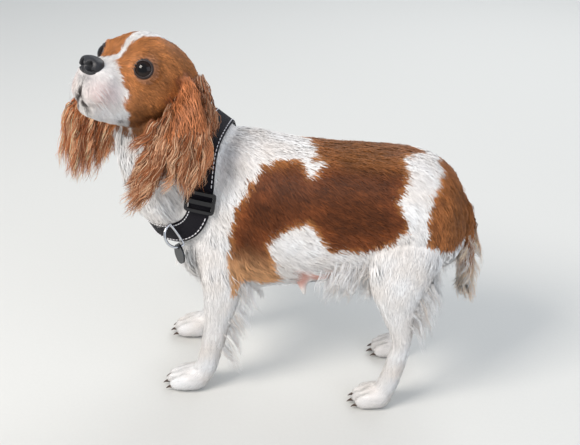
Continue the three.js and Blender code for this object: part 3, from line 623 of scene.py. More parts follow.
# The head's patches: outlines of [forward, up] seen from the side, with the blaze cut out by its half width.
CHEEK = [
    (22, 12), (20, -2), (19, -11), (12, -23), (12, -31), (8, -38), (2, -43), (-5, -53), (-14, -64),
    (-34, -78), (-60, -74), (-100, -60), (-110, 10), (-70, 60), (0, 50), (26, 30),
]
BLAZE = [
    (-96, 0.0), (-70, 5.0), (-44, 13.0), (-28, 15.0), (-14, 11.0), (0, 5.5), (8, 5.0), (16, 9.0), (60, 12.0),
]


def head_patch(points):
    """How far inside the head's chestnut each point lies, in mm: inside the cheek outline and off the
    blaze."""
    h = to_head(points)
    depth = inside_distance(h[:, [0, 2]], CHEEK)
    blaze = np.interp(h[:, 0], *np.array(BLAZE).T)
    crown = np.where(h[:, 2] > -12, np.abs(h[:, 1] + 1) - blaze, 99.0)
    return np.minimum(depth, crown)


def toe_gaps(points):
    """1 in the gaps between the toes, seen from above, fading over 1.4 mm and towards the back of each
    paw."""
    gaps = np.zeros(len(points))
    for (x, y, z), length, width in PAWS.values():
        front = smoothstep(x + length * 0.05, x - length * 0.3, points[:, 0]) * (points[:, 0] > x - length)
        front *= (points[:, 2] < z + 14) & (np.abs(points[:, 1] - y) < width)
        for across in (-0.5, 0, 0.5):
            gaps = np.maximum(gaps, front * bell(points[:, 1] - y - across * width, 1.4))
    return gaps


EDGE_NOISE = 2.6  # mm by which a patch's edge wanders
TAIL_TIP = 190  # height in mm below which the tail is pale


def within(regions, *names):
    """Which points lie in the named regions."""
    return np.isin(regions, [REGION[name] for name in names])


class Markings:
    """The coat's pattern, with painted shade in creases of the face and between the toes and painted light on
    the elbow's tan, and a linear colour for each of the colour settings.
    """

    def __init__(self, settings):
        for key in SpanielColours.__annotations__:
            setattr(self, key, np.array(getattr(settings, key)))

    def colours(self, points, regions):
        """A colour for each point from its place and region, as skin and coat both carry it."""
        x, _, z = points.T
        depth = np.full(len(points), -99.0)
        body = within(regions, "torso", "neck", "teats", *LEGS)
        depth[body] = torso_patch(points[body])
        neck = within(regions, "neck")
        depth[neck] = np.maximum(depth[neck] - 200, head_patch(points[neck]) - 6)
        head = within(regions, "head")
        depth[head] = head_patch(points[head])
        ears = within(regions, "ear_left", "ear_right")
        depth[ears] = 40
        depth += noise(points, 16, 5) * EDGE_NOISE
        tail = within(regions, "tail")
        depth[tail] = (z[tail] - TAIL_TIP) * 0.3 + noise(points[tail], 9, 6) * 6
        shade = smoothstep(3, 26, depth + noise(points, 30, 7) * 8)
        brown = tinted(self.tan, self.chestnut, smoothstep(-1, 7, depth))
        brown = tinted(brown, self.liver, shade * 0.8)
        brown = tinted(brown, self.face, 0.6 * smoothstep(135, 165, x))
        low = smoothstep(205, 168, z) * smoothstep(-5, 20, x)
        spine = smoothstep(276, 288, z)
        brown = tinted(brown, self.tan, 0.36 * np.maximum(low, spine))
        # The low front of the saddle: a real light tan patch, made lighter still as painted light against the
        # shade on the body's low side.
        brown = tinted(brown, self.lobe_tan_and_painted_light, smoothstep(212, 160, z) * smoothstep(12, -10, x))
        brown[head | neck] = self.face
        brown[ears] = self.ear
        brown = brown * (1 + 0.16 * noise(points, 14, 9))[:, None]
        warm = 0.3 + 0.3 * noise(points, 45, 8)
        pale = tinted(self.white, self.cream, np.clip(warm, 0, 1))
        colour = tinted(pale, brown, smoothstep(-1.2, 1.2, depth))
        colour[tail] = tinted(colour[tail], self.lobe_tan_and_painted_light, 0.25 * (depth[tail] < 0))
        # Painted shade in the gaps between the toes: darker by up to 0.3 there.
        colour = colour * (1 - 0.3 * toe_gaps(points))[:, None]
        return self.face_tints(colour, points, head)

    def face_tints(self, colour, points, head):
        """Pink skin that shows through the muzzle and belly, grey below the nose that is partly pigment and
        partly painted shade, painted shade along the mouth's groove and under the jowl, and dark lips and lid
        rims, the lips partly painted shade where they part."""
        h = to_head(points)
        beside = np.column_stack([h[:, 0], np.abs(h[:, 1]), h[:, 2]])
        colour = tinted(colour, self.muzzle_pink, blob(beside, [31, 20, -33], [17, 13, 13]) * 0.6 * head)
        colour = tinted(colour, self.pink, smoothstep(0.2, 0.7, bare_belly(points)) * off_patches(points))
        # Grey below the nose: partly grey pigment, partly painted shade under the nose.
        colour = tinted(colour, self.muzzle_grey_and_painted_shade, blob(h, [43, 5, -21], [7, 11, 7]) * head * 0.6)
        # Dark lips where the upper lips part below the nose: partly lip pigment, partly painted shade over
        # the chin that is set back between them.
        inside = between_lips(h)
        lip_and_painted_shade = smoothstep(-1.4, 0.4, inside) * (1 - smoothstep(5, 8, inside)) * head
        lip_and_painted_shade = lip_and_painted_shade * smoothstep(28, 36, h[:, 0])
        colour = tinted(colour, self.lips, 0.92 * lip_and_painted_shade)
        # Painted shade along the mouth's groove: a grey line at 0.3 over the groove that press_face draws in.
        near_mouth = np.flatnonzero((np.abs(h[:, 0] - 10) < 18) & (h[:, 2] < -40))
        line = np.zeros(len(points))
        line[near_mouth] = bell(mouth_gap(points[near_mouth]), 1.7)
        colour = tinted(colour, self.muzzle_grey_and_painted_shade, 0.3 * line)
        colour = tinted(colour, self.lips, 0.85 * blob(beside, [0, 20, -56], [4.5, 7, 2.6]))
        # Painted shade under the cheek: the lower cheek behind the mouth is darkened by up to 0.45, where
        # shade falls below the jowl.
        painted_jowl_shade = smoothstep(-26, -46, h[:, 2]) * smoothstep(2, -16, h[:, 0]) * head
        colour = colour * (1 - 0.45 * painted_jowl_shade)[:, None]
        for sign in SIDES.values():
            depth, radius = from_eye(points, sign)
            near = head & (depth > 0)
            colour = tinted(colour, self.lid_skin, near * (1 - smoothstep(11.4, 12.8, radius)) * 0.4)
            colour = tinted(colour, self.lips, near * (1 - smoothstep(10.2, 11.2, radius)))
        return colour


# The skin

REGION = {name: k for k, (name, _, _) in enumerate(flesh_parts())}
SKIN_VOXEL = 2.15
SKIN_SMOOTHING = 6  # rounds
SOLE_HEIGHT = 0.4  # mm from the floor to the lowest skin


def flesh_mesh():
    """The flesh forms, each drawn in by the coat's depth, as overlapping closed bodies."""
    bodies = []
    for region, forms, depth in flesh_parts():
        fine = region.startswith("paw") or region == "teats"
        rows, columns = (14, 14) if fine else (44, 40)
        for form in forms:
            grid = form.grid(rows, columns, -depth)
            grid[..., 2] = np.maximum(grid[..., 2], SOLE_HEIGHT)
            bodies.append(closed_grid(grid))
    return gathered(bodies)


def region_samples():
    """Points on every flesh form with their region, and the direction down each form."""
    places, regions, runs = [], [], []
    for region, forms, depth in flesh_parts():
        for form in forms:
            rows = 20 if region == "torso" else 12
            t = (np.arange(rows) + 0.5) / rows
            grid = form.surface(t[:, None], np.linspace(0, 2 * np.pi, 14, endpoint=False)[None, :], -depth)
            tangent = form.frame(t)[1][:, None].repeat(14, 1)
            places.append(grid.reshape(-1, 3))
            runs.append(tangent.reshape(-1, 3))
            regions.append(np.full(rows * 14, REGION[region]))
    return np.vstack(places), np.concatenate(regions), np.vstack(runs)


def nearest(points, places):
    """The index of the nearest place for each point, worked out in blocks from |p|^2 - 2 p.q + |q|^2."""
    square = np.sum(places**2, axis=1)
    blocks = np.array_split(points, len(points) // 4000 + 1)
    return np.concatenate([np.argmin(square - 2 * block @ places.T, axis=1) for block in blocks])


def smoothed(values, edges, rounds, keep=0.4):
    """Values at points, each round moved towards the mean of the values at the far ends of its edges."""
    count = np.bincount(edges.ravel(), minlength=len(values))[:, None]
    for _ in range(rounds):
        total = np.zeros_like(values)
        for k in range(values.shape[1]):
            total[:, k] = np.bincount(edges[:, 0], values[edges[:, 1], k], len(values))
            total[:, k] += np.bincount(edges[:, 1], values[edges[:, 0], k], len(values))
        values = keep * values + (1 - keep) * total / np.maximum(count, 1)
    return values


def streaks(points, edges, flow, rounds=9):
    """A value for each point that runs in streaks along the coat: seeded noise, each round moved towards the
    mean over its edges weighted by the sixth power of how well an edge follows the flow, then set to a spread
    of 1."""
    run = unit(points[edges[:, 1]] - points[edges[:, 0]])
    weight = np.abs(np.sum(run * unit(flow[edges[:, 0]]), axis=1)) ** 6 + 0.002
    n = len(points)
    total = np.bincount(edges[:, 0], weight, n) + np.bincount(edges[:, 1], weight, n)
    values = np.random.default_rng(12).normal(size=n)
    for _ in range(rounds):
        mean = np.bincount(edges[:, 0], weight * values[edges[:, 1]], n)
        mean += np.bincount(edges[:, 1], weight * values[edges[:, 0]], n)
        values = 0.35 * values + 0.65 * mean / total
    return np.clip(values / values.std(), -2.2, 2.2)


def bends(points, normals, edges, flow):
    """The skin's curvature along the coat at each point, positive where it bulges: the change of the normal
    along the flow over the way gone, by least squares over the edges."""
    total = np.zeros(len(points))
    square = np.zeros(len(points))
    way = points[edges[:, 1]] - points[edges[:, 0]]
    turn = normals[edges[:, 1]] - normals[edges[:, 0]]
    for end in edges.T:
        along = np.sum(way * flow[end], axis=1)
        total += np.bincount(end, along * np.sum(turn * flow[end], axis=1), len(points))
        square += np.bincount(end, along**2, len(points))
    return smoothed(np.clip(total / np.maximum(square, 1e-6), -0.03, 0.06)[:, None], edges, 6)[:, 0]


STREAK_TONE = 0.19  # how much a streak of spread 1 changes the tone of the red coat


def streaked(colours, streak):
    """Colours made lighter or darker along streaks, less where they are pale."""
    pale = smoothstep(0.25, 0.6, colours.mean(1))
    return colours * (1 + STREAK_TONE * streak * (1 - 0.6 * pale))[:, None]


SOCKET_RIM = 9.6  # radius at which the skin meets the lids
SOCKET_FADE = 17  # radius at which the socket has faded into the face


LIP_HEIGHTS = [-56, -52, -46, -42, -39, -35, -31, -27]
LIP_HALVES = [13, 10.5, 8, 6.2, 4.8, 3.4, 2.2, 1]


def lean_back(h):
    """Head-frame points with the muzzle's front drawn back, most just below the nose, and lowered a
    little."""
    front = smoothstep(8, 46, h[:, 0])
    set_back = front * (3.5 + 3 * smoothstep(-48, -12, h[:, 2]))
    lower = front * 1.5 * smoothstep(-30, -6, h[:, 2])
    return h - np.column_stack([set_back, 0 * lower, lower])


def between_lips(h):
    """How far inside the parting of the upper lips each head-frame point lies: the lips part below the nose
    and hang to each side of the chin."""
    half = np.interp(h[:, 2], LIP_HEIGHTS, LIP_HALVES)
    return np.where((h[:, 2] < -27) & (h[:, 0] > 22), half - np.abs(h[:, 1]), -20)


def press_face(points):
    """The skin shaped to the face: muzzle leaned back, chin set in between the lips, grooves along the mouth
    and under the nose, a hollow behind the nostrils, and the sockets drawn in behind the eyeballs and raised
    to the lids round them."""
    h = lean_back(to_head(points))
    chin = smoothstep(0, 2.6, between_lips(h)) * smoothstep(26, 38, h[:, 0])
    h[:, 0] -= (1.2 + 3.8 * smoothstep(-50, -42, h[:, 2])) * chin
    groove = bell(h[:, 1], 1.2) * smoothstep(-29, -25, h[:, 2]) * (h[:, 2] < -18) * (h[:, 0] > 36)
    h[:, 0] -= 1.2 * groove
    behind_nose = np.exp(-((h[:, 1] / 10) ** 4) - ((h[:, 2] + 11.5) / 6) ** 4)
    h[:, 0] -= 6 * behind_nose * smoothstep(33, 38, h[:, 0])
    points = in_head(h)
    rim = np.sqrt(EYE_RADIUS**2 - SOCKET_RIM**2) + 1.2
    for sign in SIDES.values():
        depth, radius = from_eye(points, sign)
        front = np.sqrt(np.maximum(EYE_RADIUS**2 - radius**2, 0))
        hole = front - 3 - 3 * (1 - smoothstep(6, SOCKET_RIM - 1, radius))
        target = blend(hole, rim, smoothstep(SOCKET_RIM - 1.4, SOCKET_RIM + 0.4, radius))
        share = 1 - smoothstep(SOCKET_RIM + 0.5, SOCKET_FADE, radius)
        near = (depth > -9) & (radius < SOCKET_FADE)
        move = np.where(near, (target - depth) * share, 0)
        points = points + move[:, None] * eye_gaze(sign)
    inwards = unit(in_head([10, 0, -30]) - points)
    return points + inwards * (0.5 * bell(mouth_gap(points), 2.0))[:, None]


MOUTH_STATIONS = [
    [0, 20, -56.5], [9, 18, -58], [17, 16.5, -58.6], [27, 15, -57.6], [35, 12.5, -54.5], [40, 9, -50],
    [43.5, 7.5, -45.5], [45.5, 5.6, -40.5], [46.5, 3.8, -35.5], [47, 2.2, -31], [47.4, 0, -27.5],
]


def mouth_gap(points):
    """Distance from each point to the line of the mouth."""
    return np.linalg.norm(points[:, None] - mouth_line()[None, ::3], axis=2).min(1)


def press_paws(points):
    """The skin drawn in between the toes by up to 2.4 mm, towards each paw's middle."""
    for (x, y, z), _, _ in PAWS.values():
        near = np.linalg.norm(points[:, :2] - [x - 8, y], axis=1) < 34
        near &= points[:, 2] < z + 14
        inwards = unit(np.array([x + 6, y, 2.0]) - points)
        inwards[:, 1] *= 0.2
        points = points + inwards * (2.4 * toe_gaps(points) * near * smoothstep(1, 6, points[:, 2]))[:, None]
    return points


def mouth_line():
    """Points along the mouth from one corner round the front to the other."""
    near = lean_back(np.array(MOUTH_STATIONS, float))
    far = near[-2::-1] * [1, -1, 1]
    return in_head(catmull(np.vstack([near, far]), np.linspace(0, 1, 90)))


def joined_flesh():
    """The flesh forms joined to one closed mesh by a voxel remesh."""
    points, triangles = flesh_mesh()
    mesh = bpy.data.meshes.new("flesh")
    mesh.from_pydata(points * MM, [], triangles.tolist())
    flesh = add_object("flesh", mesh)
    remesh = flesh.modifiers.new("join", "REMESH")
    remesh.mode = "VOXEL"
    remesh.voxel_size = SKIN_VOXEL * MM
    ready = flesh.evaluated_get(bpy.context.evaluated_depsgraph_get())
    joined = bpy.data.meshes.new_from_object(ready)
    joined.name = "skin"
    bpy.data.objects.remove(flesh)
    bpy.data.meshes.remove(mesh)
    return joined


def unwrap(skin):
    """Unwraps the skin to its OFBake map."""
    skin.data.uv_layers.new(name="OFBake")
    bpy.ops.object.select_all(action="DESELECT")
    bpy.context.view_layer.objects.active = skin
    skin.select_set(True)
    bpy.ops.object.mode_set(mode="EDIT")
    bpy.ops.mesh.select_all(action="SELECT")
    bpy.ops.uv.smart_project(angle_limit=math.radians(66), island_margin=0.001)
    bpy.ops.object.mode_set(mode="OBJECT")


def build_skin(markings, material):
    """One skin over all the flesh: its forms joined and smoothed, pressed to the face's, paws' and collar's
    features, coloured and unwrapped."""
    mesh = joined_flesh()
    edges = read(mesh.edges, "vertices", 2, np.int32)
    place = smoothed(read(mesh.vertices, "co", 3).astype(float) / MM, edges, SKIN_SMOOTHING)
    place = fit_collar(press_paws(press_face(place)))
    samples, sample_regions, sample_runs = region_samples()
    closest = nearest(place, samples)
    regions = sample_regions[closest]
    write(mesh.vertices, "co", packed(place))
    mesh.update()
    flow = smoothed(coat_flow(place, regions, sample_runs[closest]), edges, 34)
    streak = streaks(place, edges, flow)
    set_colours(mesh, streaked(smoothed(markings.colours(place, regions), edges, 1), streak))
    write(mesh.polygons, "use_smooth", np.ones(len(mesh.polygons)), bool)
    skin = add_object("skin", mesh)
    mesh.materials.clear()
    mesh.materials.append(material)
    unwrap(skin)
    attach(skin, "root")
    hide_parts("torso", "neck", "head", "ear_left", "ear_right", "tail", *LEGS)
    return Pelt(skin, place, regions, flow, streak, edges)


def coat_flow(points, regions, runs):
    """The lie of the coat at each point: backwards along the body and down its sides, down the neck, chest,
    legs and tail along each form, and back from the nose over the head."""
    flow = runs.copy()
    torso = within(regions, "torso", "teats")
    p = points[torso]
    flank = smoothstep(8, 50, np.abs(p[:, 1]))
    low = smoothstep(190, 140, p[:, 2])
    shoulder = smoothstep(40, -60, p[:, 0])
    chest = smoothstep(-60, -120, p[:, 0])
    rump = smoothstep(110, 180, p[:, 0])
    down = 0.12 + flank * (0.6 - 0.25 * low + 0.8 * shoulder) + 2.2 * chest + 1.5 * rump
    swirl = 0.3 * noise(p, 110, 21)
    flow[torso] = np.column_stack([1 - 0.9 * chest, 0.1 * np.sign(p[:, 1]), -down + swirl])
    neck = within(regions, "neck")
    flow[neck] = -runs[neck]
    flow[neck, 0] += 0.5 * smoothstep(-140, -90, points[neck, 0])
    head = within(regions, "head")
    h = to_head(points[head])
    flow[head] = np.column_stack([-np.ones(len(h)), h[:, 1] * 0.006, -0.35 + 0.008 * h[:, 2]]) @ HEAD_AXES
    flow[within(regions, *("paw_" + name for name in PAWS))] = [-0.8, 0, -0.5]
    return unit(flow)


def mixed(share, values):
    """Values at the corners of triangles, mixed by each corner's share."""
    return np.einsum("nk,nkd->nd", share, values)


# Where tufts stand: places, normals, lie, unwrap places, regions, streaks and the skin's curvature.
Roots = namedtuple("Roots", "places normals flow uvs regions streak bend")


class Pelt:
    """The skin as arrays: where tufts root, which way they lie and where each root is on the unwrap."""

    def __init__(self, skin, points, regions, flow, streak, edges):
        mesh = skin.data
        mesh.calc_loop_triangles()
        self.corners = read(mesh.loop_triangles, "vertices", 3, np.int32)
        loops = read(mesh.loop_triangles, "loops", 3, np.int32)
        self.uv = read(mesh.uv_layers["OFBake"].data, "uv", 2)[loops]
        self.normals = read(mesh.vertices, "normal", 3).astype(float)
        self.points = points
        self.flow = flow
        self.streak = streak
        self.bend = bends(points, self.normals, edges, flow)
        a, b, c = (points[self.corners[:, k]] for k in range(3))
        self.areas = np.linalg.norm(np.cross(b - a, c - a), axis=1) / 2
        self.middles = (a + b + c) / 3
        self.triangle_regions = regions[self.corners[:, 0]]

    def roots(self, count, weights, random):
        """`count` roots drawn by triangle area times the weights, each at a random place in its triangle."""
        chance = self.areas * weights
        picked = random.choice(len(chance), count, p=chance / chance.sum())
        u = np.sqrt(random.random(count))
        v = random.random(count)
        share = np.column_stack([1 - u, u * (1 - v), u * v])
        corners = self.corners[picked]
        normals = unit(mixed(share, self.normals[corners]))
        flow = mixed(share, self.flow[corners])
        flow = unit(flow - np.sum(flow * normals, 1)[:, None] * normals)
        streak = np.sum(share * self.streak[corners], axis=1)
        bend = np.sum(share * self.bend[corners], axis=1)
        places, uvs = mixed(share, self.points[corners]), mixed(share, self.uv[picked])
        return Roots(places, normals, flow, uvs, self.triangle_regions[picked], streak, bend)

    def nearest_uv(self, places):
        """The unwrap place of the skin point nearest to each place, out of every fourth triangle."""
        return self.uv[nearest(places, self.middles[::4]) * 4].mean(1)


# Tufts

PATCH = 0.003  # width of a tuft's patch on the OFBake map
NORMAL_FAN = 0.35


def blade_triangles(count, rings):
    """Triangles of `count` closed blades: a pointed root, three walls between rings and a pointed tip."""
    stride = 3 * rings + 2
    faces = []
    for k in range(3):
        n = (k + 1) % 3
        last = 3 * (rings - 1) + 1
        faces += [[0, 1 + k, 1 + n], [last + n, last + k, stride - 1]]
        for r in range(rings - 1):
            a, b = 3 * r + 1 + k, 3 * r + 1 + n
            faces += [[a, b + 3, b], [a, a + 3, b + 3]]
    return (np.arange(count)[:, None, None] * stride + np.array(faces)[None]).reshape(-1, 3)


def blades(paths, faces_out, widths, flat, uvs, colours, tip_light, profile):
    """Closed three-sided blades along paths [count, steps, 3] that start and end in a point: their points,
    triangles, colours, unwrap places and shading normals. Each ring between is a flat triangle across the
    path, half width w to each side and thickness out. Shading normals fan by NORMAL_FAN to each side of the
    coat's own normal, so that a coat shades as one soft surface."""
    count, steps = paths.shape[:2]
    tangent = unit(np.gradient(paths, axis=1))[:, 1:-1]
    facing = np.broadcast_to(faces_out[:, None], tangent.shape)
    side = unit(np.cross(tangent, facing))
    out = np.cross(side, tangent)
    share = np.linspace(0, 1, steps)
    shape = np.interp(share[1:-1], np.linspace(0, 1, len(profile)), profile)
    w = (widths[:, None] * shape)[..., None]
    p = paths[:, 1:-1]
    rings = np.stack([p - side * w, p + side * w, p + out * w * flat], axis=2).reshape(count, -1, 3)
    points = np.concatenate([paths[:, :1], rings, paths[:, -1:]], axis=1)
    face = unit(0.5 * facing + 0.5 * out)
    fans = np.stack([face - side * NORMAL_FAN, face + side * NORMAL_FAN, face], axis=2).reshape(count, -1, 3)
    normals = unit(np.concatenate([face[:, :1], fans, face[:, -1:]], axis=1))
    along = np.concatenate([[0], share[1:-1].repeat(3), [1]])
    across = np.concatenate([[0], np.tile([-0.5, 0.5, 0.0], steps - 2), [0]])
    patch = uvs[:, None] + np.stack([across, along - 0.5], -1)[None] * PATCH
    gain = tip_light * (1 - 0.8 * smoothstep(0.3, 0.6, colours.mean(1)))[:, None, None]
    tone = np.clip(colours[:, None] * (1 + gain * (along[None, :, None] - 0.4)), 0, 1)
    triangles = blade_triangles(count, steps - 2)
    return points.reshape(-1, 3), triangles, tone.reshape(-1, 3), patch.reshape(-1, 2), normals.reshape(-1, 3)


def short_tufts(roots, length, coat, markings, random):
    """Flat-lying tufts of two straight runs: from a root below the skin up to `rise` of the length at 0.45 of
    the way, then down to half that height at the tip, bent with the skin. Height and tone vary in clumps
    about 11 mm across."""
    n = len(roots.places)
    size = length * random.uniform(0.7, 1.25, n)
    side = np.cross(roots.normals, roots.flow)
    flow = unit(roots.flow + side * random.normal(0, 0.13, n)[:, None])
    clump = noise(roots.places, 11, 31)
    high = coat.rise * (1 + 0.15 * clump + 0.3 * roots.streak) * random.uniform(0.6, 1.3, n)
    base = roots.places - roots.normals * 0.5
    up = roots.normals * (size * high)[:, None]
    drop = roots.normals * (roots.bend * size**2 / 2)[:, None]
    knee = base + flow * (size * 0.45)[:, None] + up + roots.normals * 0.5 - drop * 0.2
    swing = side * (size * random.normal(0, 0.07, n))[:, None]
    tip = base + flow * size[:, None] + up * 0.55 + swing - drop
    colour = streaked(markings.colours(roots.places, roots.regions), roots.streak)
    mottle = random.normal(0, 1, n) * coat.mottle * (1 - 0.75 * smoothstep(0.3, 0.6, colour.mean(1)))
    colour = colour * (1 + 0.06 * clump + mottle)[:, None]
    widths = coat.width * random.uniform(0.7, 1.3, n)
    return blades(np.stack([base, knee, tip], 1), roots.normals, widths, 0.4, roots.uvs, colour, 0.25, (1, 1))


# How the short coat lies on one piece: its regions, number of tufts, their length and width in mm, how
# steeply they leave the skin as a share of their length, and how much their tone varies.
Coat = namedtuple("Coat", "name regions count length width rise mottle", defaults=(0.08,))
LONG_COAT = 12  # mm from which a coat's length varies over the body


def coat_length(points, base):
    """The coat's length: shorter on the back, longer low on the sides and on the chest."""
    low = smoothstep(240, 150, points[:, 2])
    chest = smoothstep(-60, -130, points[:, 0])
    return base * (0.85 + 0.5 * low + 0.35 * chest)


SHORT_COATS = [
    Coat("coat_torso_left", ("torso",), 32500, 17, 0.42, 0.1, 0.18),
    Coat("coat_torso_right", ("torso",), 19000, 17, 0.6, 0.1, 0.18),
    Coat("coat_neck", ("neck",), 14000, 18, 0.5, 0.1, 0.12),
    Coat("coat_head", ("head",), 28000, 6.5, 0.25, 0.1, 0.24),
    Coat("coat_ears", ("ear_left", "ear_right"), 5000, 18, 0.4, 0.16, 0.2),
    Coat("coat_front_legs", ("front_leg_left", "front_leg_right"), 14000, 8, 0.36, 0.08),
    Coat("coat_hind_legs", ("hind_leg_left", "hind_leg_right"), 15500, 9.5, 0.38, 0.07),
    Coat("coat_paws", tuple("paw_" + name for name in PAWS), 9000, 4.5, 0.32, 0.1),
    Coat("coat_tail", ("tail",), 4000, 18, 0.5, 0.16),
]


def piece_weights(pelt, coat):
    """1 on the triangles that a coat piece covers and 0 elsewhere, the torso split at its middle."""
    weights = within(pelt.triangle_regions, *coat.regions).astype(float)
    y = pelt.middles[:, 1]
    if coat.name == "coat_torso_left":
        weights *= y < 0
    if coat.name == "coat_torso_right":
        weights *= y >= 0
    weights *= pelt.middles[:, 2] > 2.5
    weights *= bare_belly(pelt.middles) < 0.4
    weights *= 1 - collar_cover(pelt.middles)
    if coat.name == "coat_head":
        weights *= face_cover(pelt.middles)
    return weights


def bare_belly(points):
    """1 where the belly's skin is bare round the teats, fading to 0."""
    spots = [(x, side * 54, 158) for x in (18, 44) for side in (-1, 1)]
    return np.max([blob(points, spot, [15, 24, 21]) for spot in spots], axis=0)


def off_patches(points):
    """1 off the torso's chestnut patches and 0 on them."""
    return smoothstep(1, -2, torso_patch(points))


def face_cover(points):
    """Where the head grows hair: not inside the lids, under the nose leather or along the lips."""
    keep = np.ones(len(points))
    for sign in SIDES.values():
        depth, radius = from_eye(points, sign)
        keep *= np.where((radius < SOCKET_RIM + 1.6) & (depth > 0), 0.0, 1.0)
    nose = np.linalg.norm((to_head(points) - [40, 0, -12]) / [13, 15.5, 10], axis=1)
    return keep * (nose > 1) * (mouth_gap(points) > 1.2)


# Long hair

LOCK_STEPS = 7


def bezier(a, b, c, d, s):
    """A cubic Bezier path through a, towards b and c, to d."""
    return a * (1 - s) ** 3 + 3 * b * s * (1 - s) ** 2 + 3 * c * s**2 * (1 - s) + d * s**3


def hair_locks(
    guides, faces_out, strands, spread, width, wave, uvs, shades, random, steps=LOCK_STEPS, gather=0.45
):
    """Locks of long hair: each follows a Bezier guide [start, bend, pull, end], and its strands leave the
    skin up to `spread` apart, wave together and draw in by the share `gather` towards the tip. A wave is
    amplitude sin(2 pi cycles s + phase) across the guide, growing towards the tip, with `wave` as its
    amplitude and its length in millimetres."""
    count = len(guides)
    s = np.linspace(0, 1, steps)[None, :, None]
    a, b, c, d = (guides[:, k, None] for k in range(4))
    path = bezier(a, b, c, d, s)
    run = np.linalg.norm(d - a, axis=2, keepdims=True)
    side = unit(np.cross(unit(np.gradient(path, axis=1)), faces_out[:, None]))
    phase = (2.6 * noise(guides[:, 3], 45, 41) + random.normal(0, 0.5, count))[:, None, None]
    cycles = run / wave[1] * random.uniform(0.88, 1.14, (count, 1, 1))
    grow = smoothstep(0, 0.6, s) * random.uniform(0.5, 1.3, (count, 1, 1))
    owner = np.repeat(np.arange(count), strands)
    n = len(owner)
    angle = 2 * np.pi * cycles[owner] * s + (phase[owner] + random.normal(0, 0.5, (n, 1, 1)))
    sway = wave[0] * grow[owner] * np.sin(angle)
    surge = 0.5 * wave[0] * grow[owner] * np.sin(angle + 1.6)
    together = 1 - gather * smoothstep(0.1, 1, s)
    offset = random.uniform(-1, 1, (n, 1, 1)) * spread
    depth = random.uniform(-1, 0.5, (n, 1, 1)) * spread * 0.4
    stray = random.normal(0, 1, (n, 1, 3)) * s**1.5 * spread * 0.25
    own = path[owner]
    own = own[:, :1] + (own - own[:, :1]) * random.uniform(0.75, 1.05, (n, 1, 1))
    out = faces_out[owner]
    own = own + side[owner] * (offset * together + sway) + out[:, None] * (depth * together + surge) + stray
    widths = width * random.uniform(0.6, 1.4, n)
    return blades(own, out, widths, 0.6, uvs[owner], shades(owner, random), 0.3, (0.8, 1, 0.9, 0.7, 0.3))


def strand_shades(base, light, dark, share=0.3, spread=0.1):
    """A function that gives a colour to each strand of long hair: a base that varies by lock, darker deep in
    it, mixed with a share of light strands."""
    base, light, dark = (np.array(colour) for colour in (base, light, dark))

    def draw(owner, random):
        """A colour for each strand from the number of the lock that it belongs to."""
        n = len(owner)
        lock = random.uniform(-0.5, 0.7, owner.max() + 1)[owner]
        mix = np.clip(lock * 0.5 + np.where(random.random(n) < share, random.uniform(0.3, 1, n), 0), 0, 1)
        deep = np.clip(-lock + random.uniform(-0.3, 0.7, n), 0, 0.9)
        colour = tinted(tinted(base, dark, deep), light, mix)
        return colour * (1 + random.normal(0, spread, n))[:, None]

    return draw


# A row of long hair on a form: the spans of t and angle where it roots, the way and length it hangs, its
# number of locks, how far it sags, how wide a lock is, its strands, and how far it stands off the form.
Fringe = namedtuple("Fringe", "form t angle flow length count sag spread strands fluff", defaults=(2,))


def hang(fringe, depth, pelt, shades, width, wave, random):
    """The locks of one fringe: roots spread over a patch of the form, drawn in by the coat's depth, with the
    path leaving along the flow and sagging by its own weight."""
    n = fringe.count
    t = random.uniform(*fringe.t, n)
    a = np.radians(random.uniform(*fringe.angle, n))
    roots = fringe.form.surface(t, a, -depth - 1.5)
    step = 0.01
    along = fringe.form.surface(t + step, a) - fringe.form.surface(t - step, a)
    around = fringe.form.surface(t, a + step) - fringe.form.surface(t, a - step)
    out = unit(np.cross(around, along))
    out *= np.sign(np.sum(out * (roots - fringe.form.frame(t)[0]), 1))[:, None]
    flow = unit(np.array(fringe.flow, float) + random.normal(0, 0.13, (n, 3)))
    length = (fringe.length * random.uniform(0.7, 1.15, n))[:, None]
    sag = np.array([0, 0, -1.0]) * fringe.sag * random.uniform(0.5, 1.5, n)[:, None]
    knees = roots + out * 3 + flow * length * 0.3
    pulls = roots + flow * length * 0.7 + out * fringe.fluff
    ends = roots + flow * length + sag + out * fringe.fluff * 0.5
    guides = np.stack([roots, knees, pulls, ends], axis=1)
    return hair_locks(
        guides, out, fringe.strands, fringe.spread, width, wave, pelt.nearest_uv(roots), shades, random
    )


HAIR_HEIGHT = 0.6  # mm from the floor to the lowest hair


def hair_piece(name, parts, material, flat=False):
    """A coat piece from sets of blades. A flat coat takes the blades' own shading normals."""
    points, triangles = gathered([part[:2] for part in parts])
    points[:, 2] = np.maximum(points[:, 2], HAIR_HEIGHT)
    colours, uvs, normals = (np.vstack([part[k] for part in parts]) for k in (2, 3, 4))
    piece = make_piece(name, points, triangles, material, colours, uvs, normals if flat else None)
    return piece


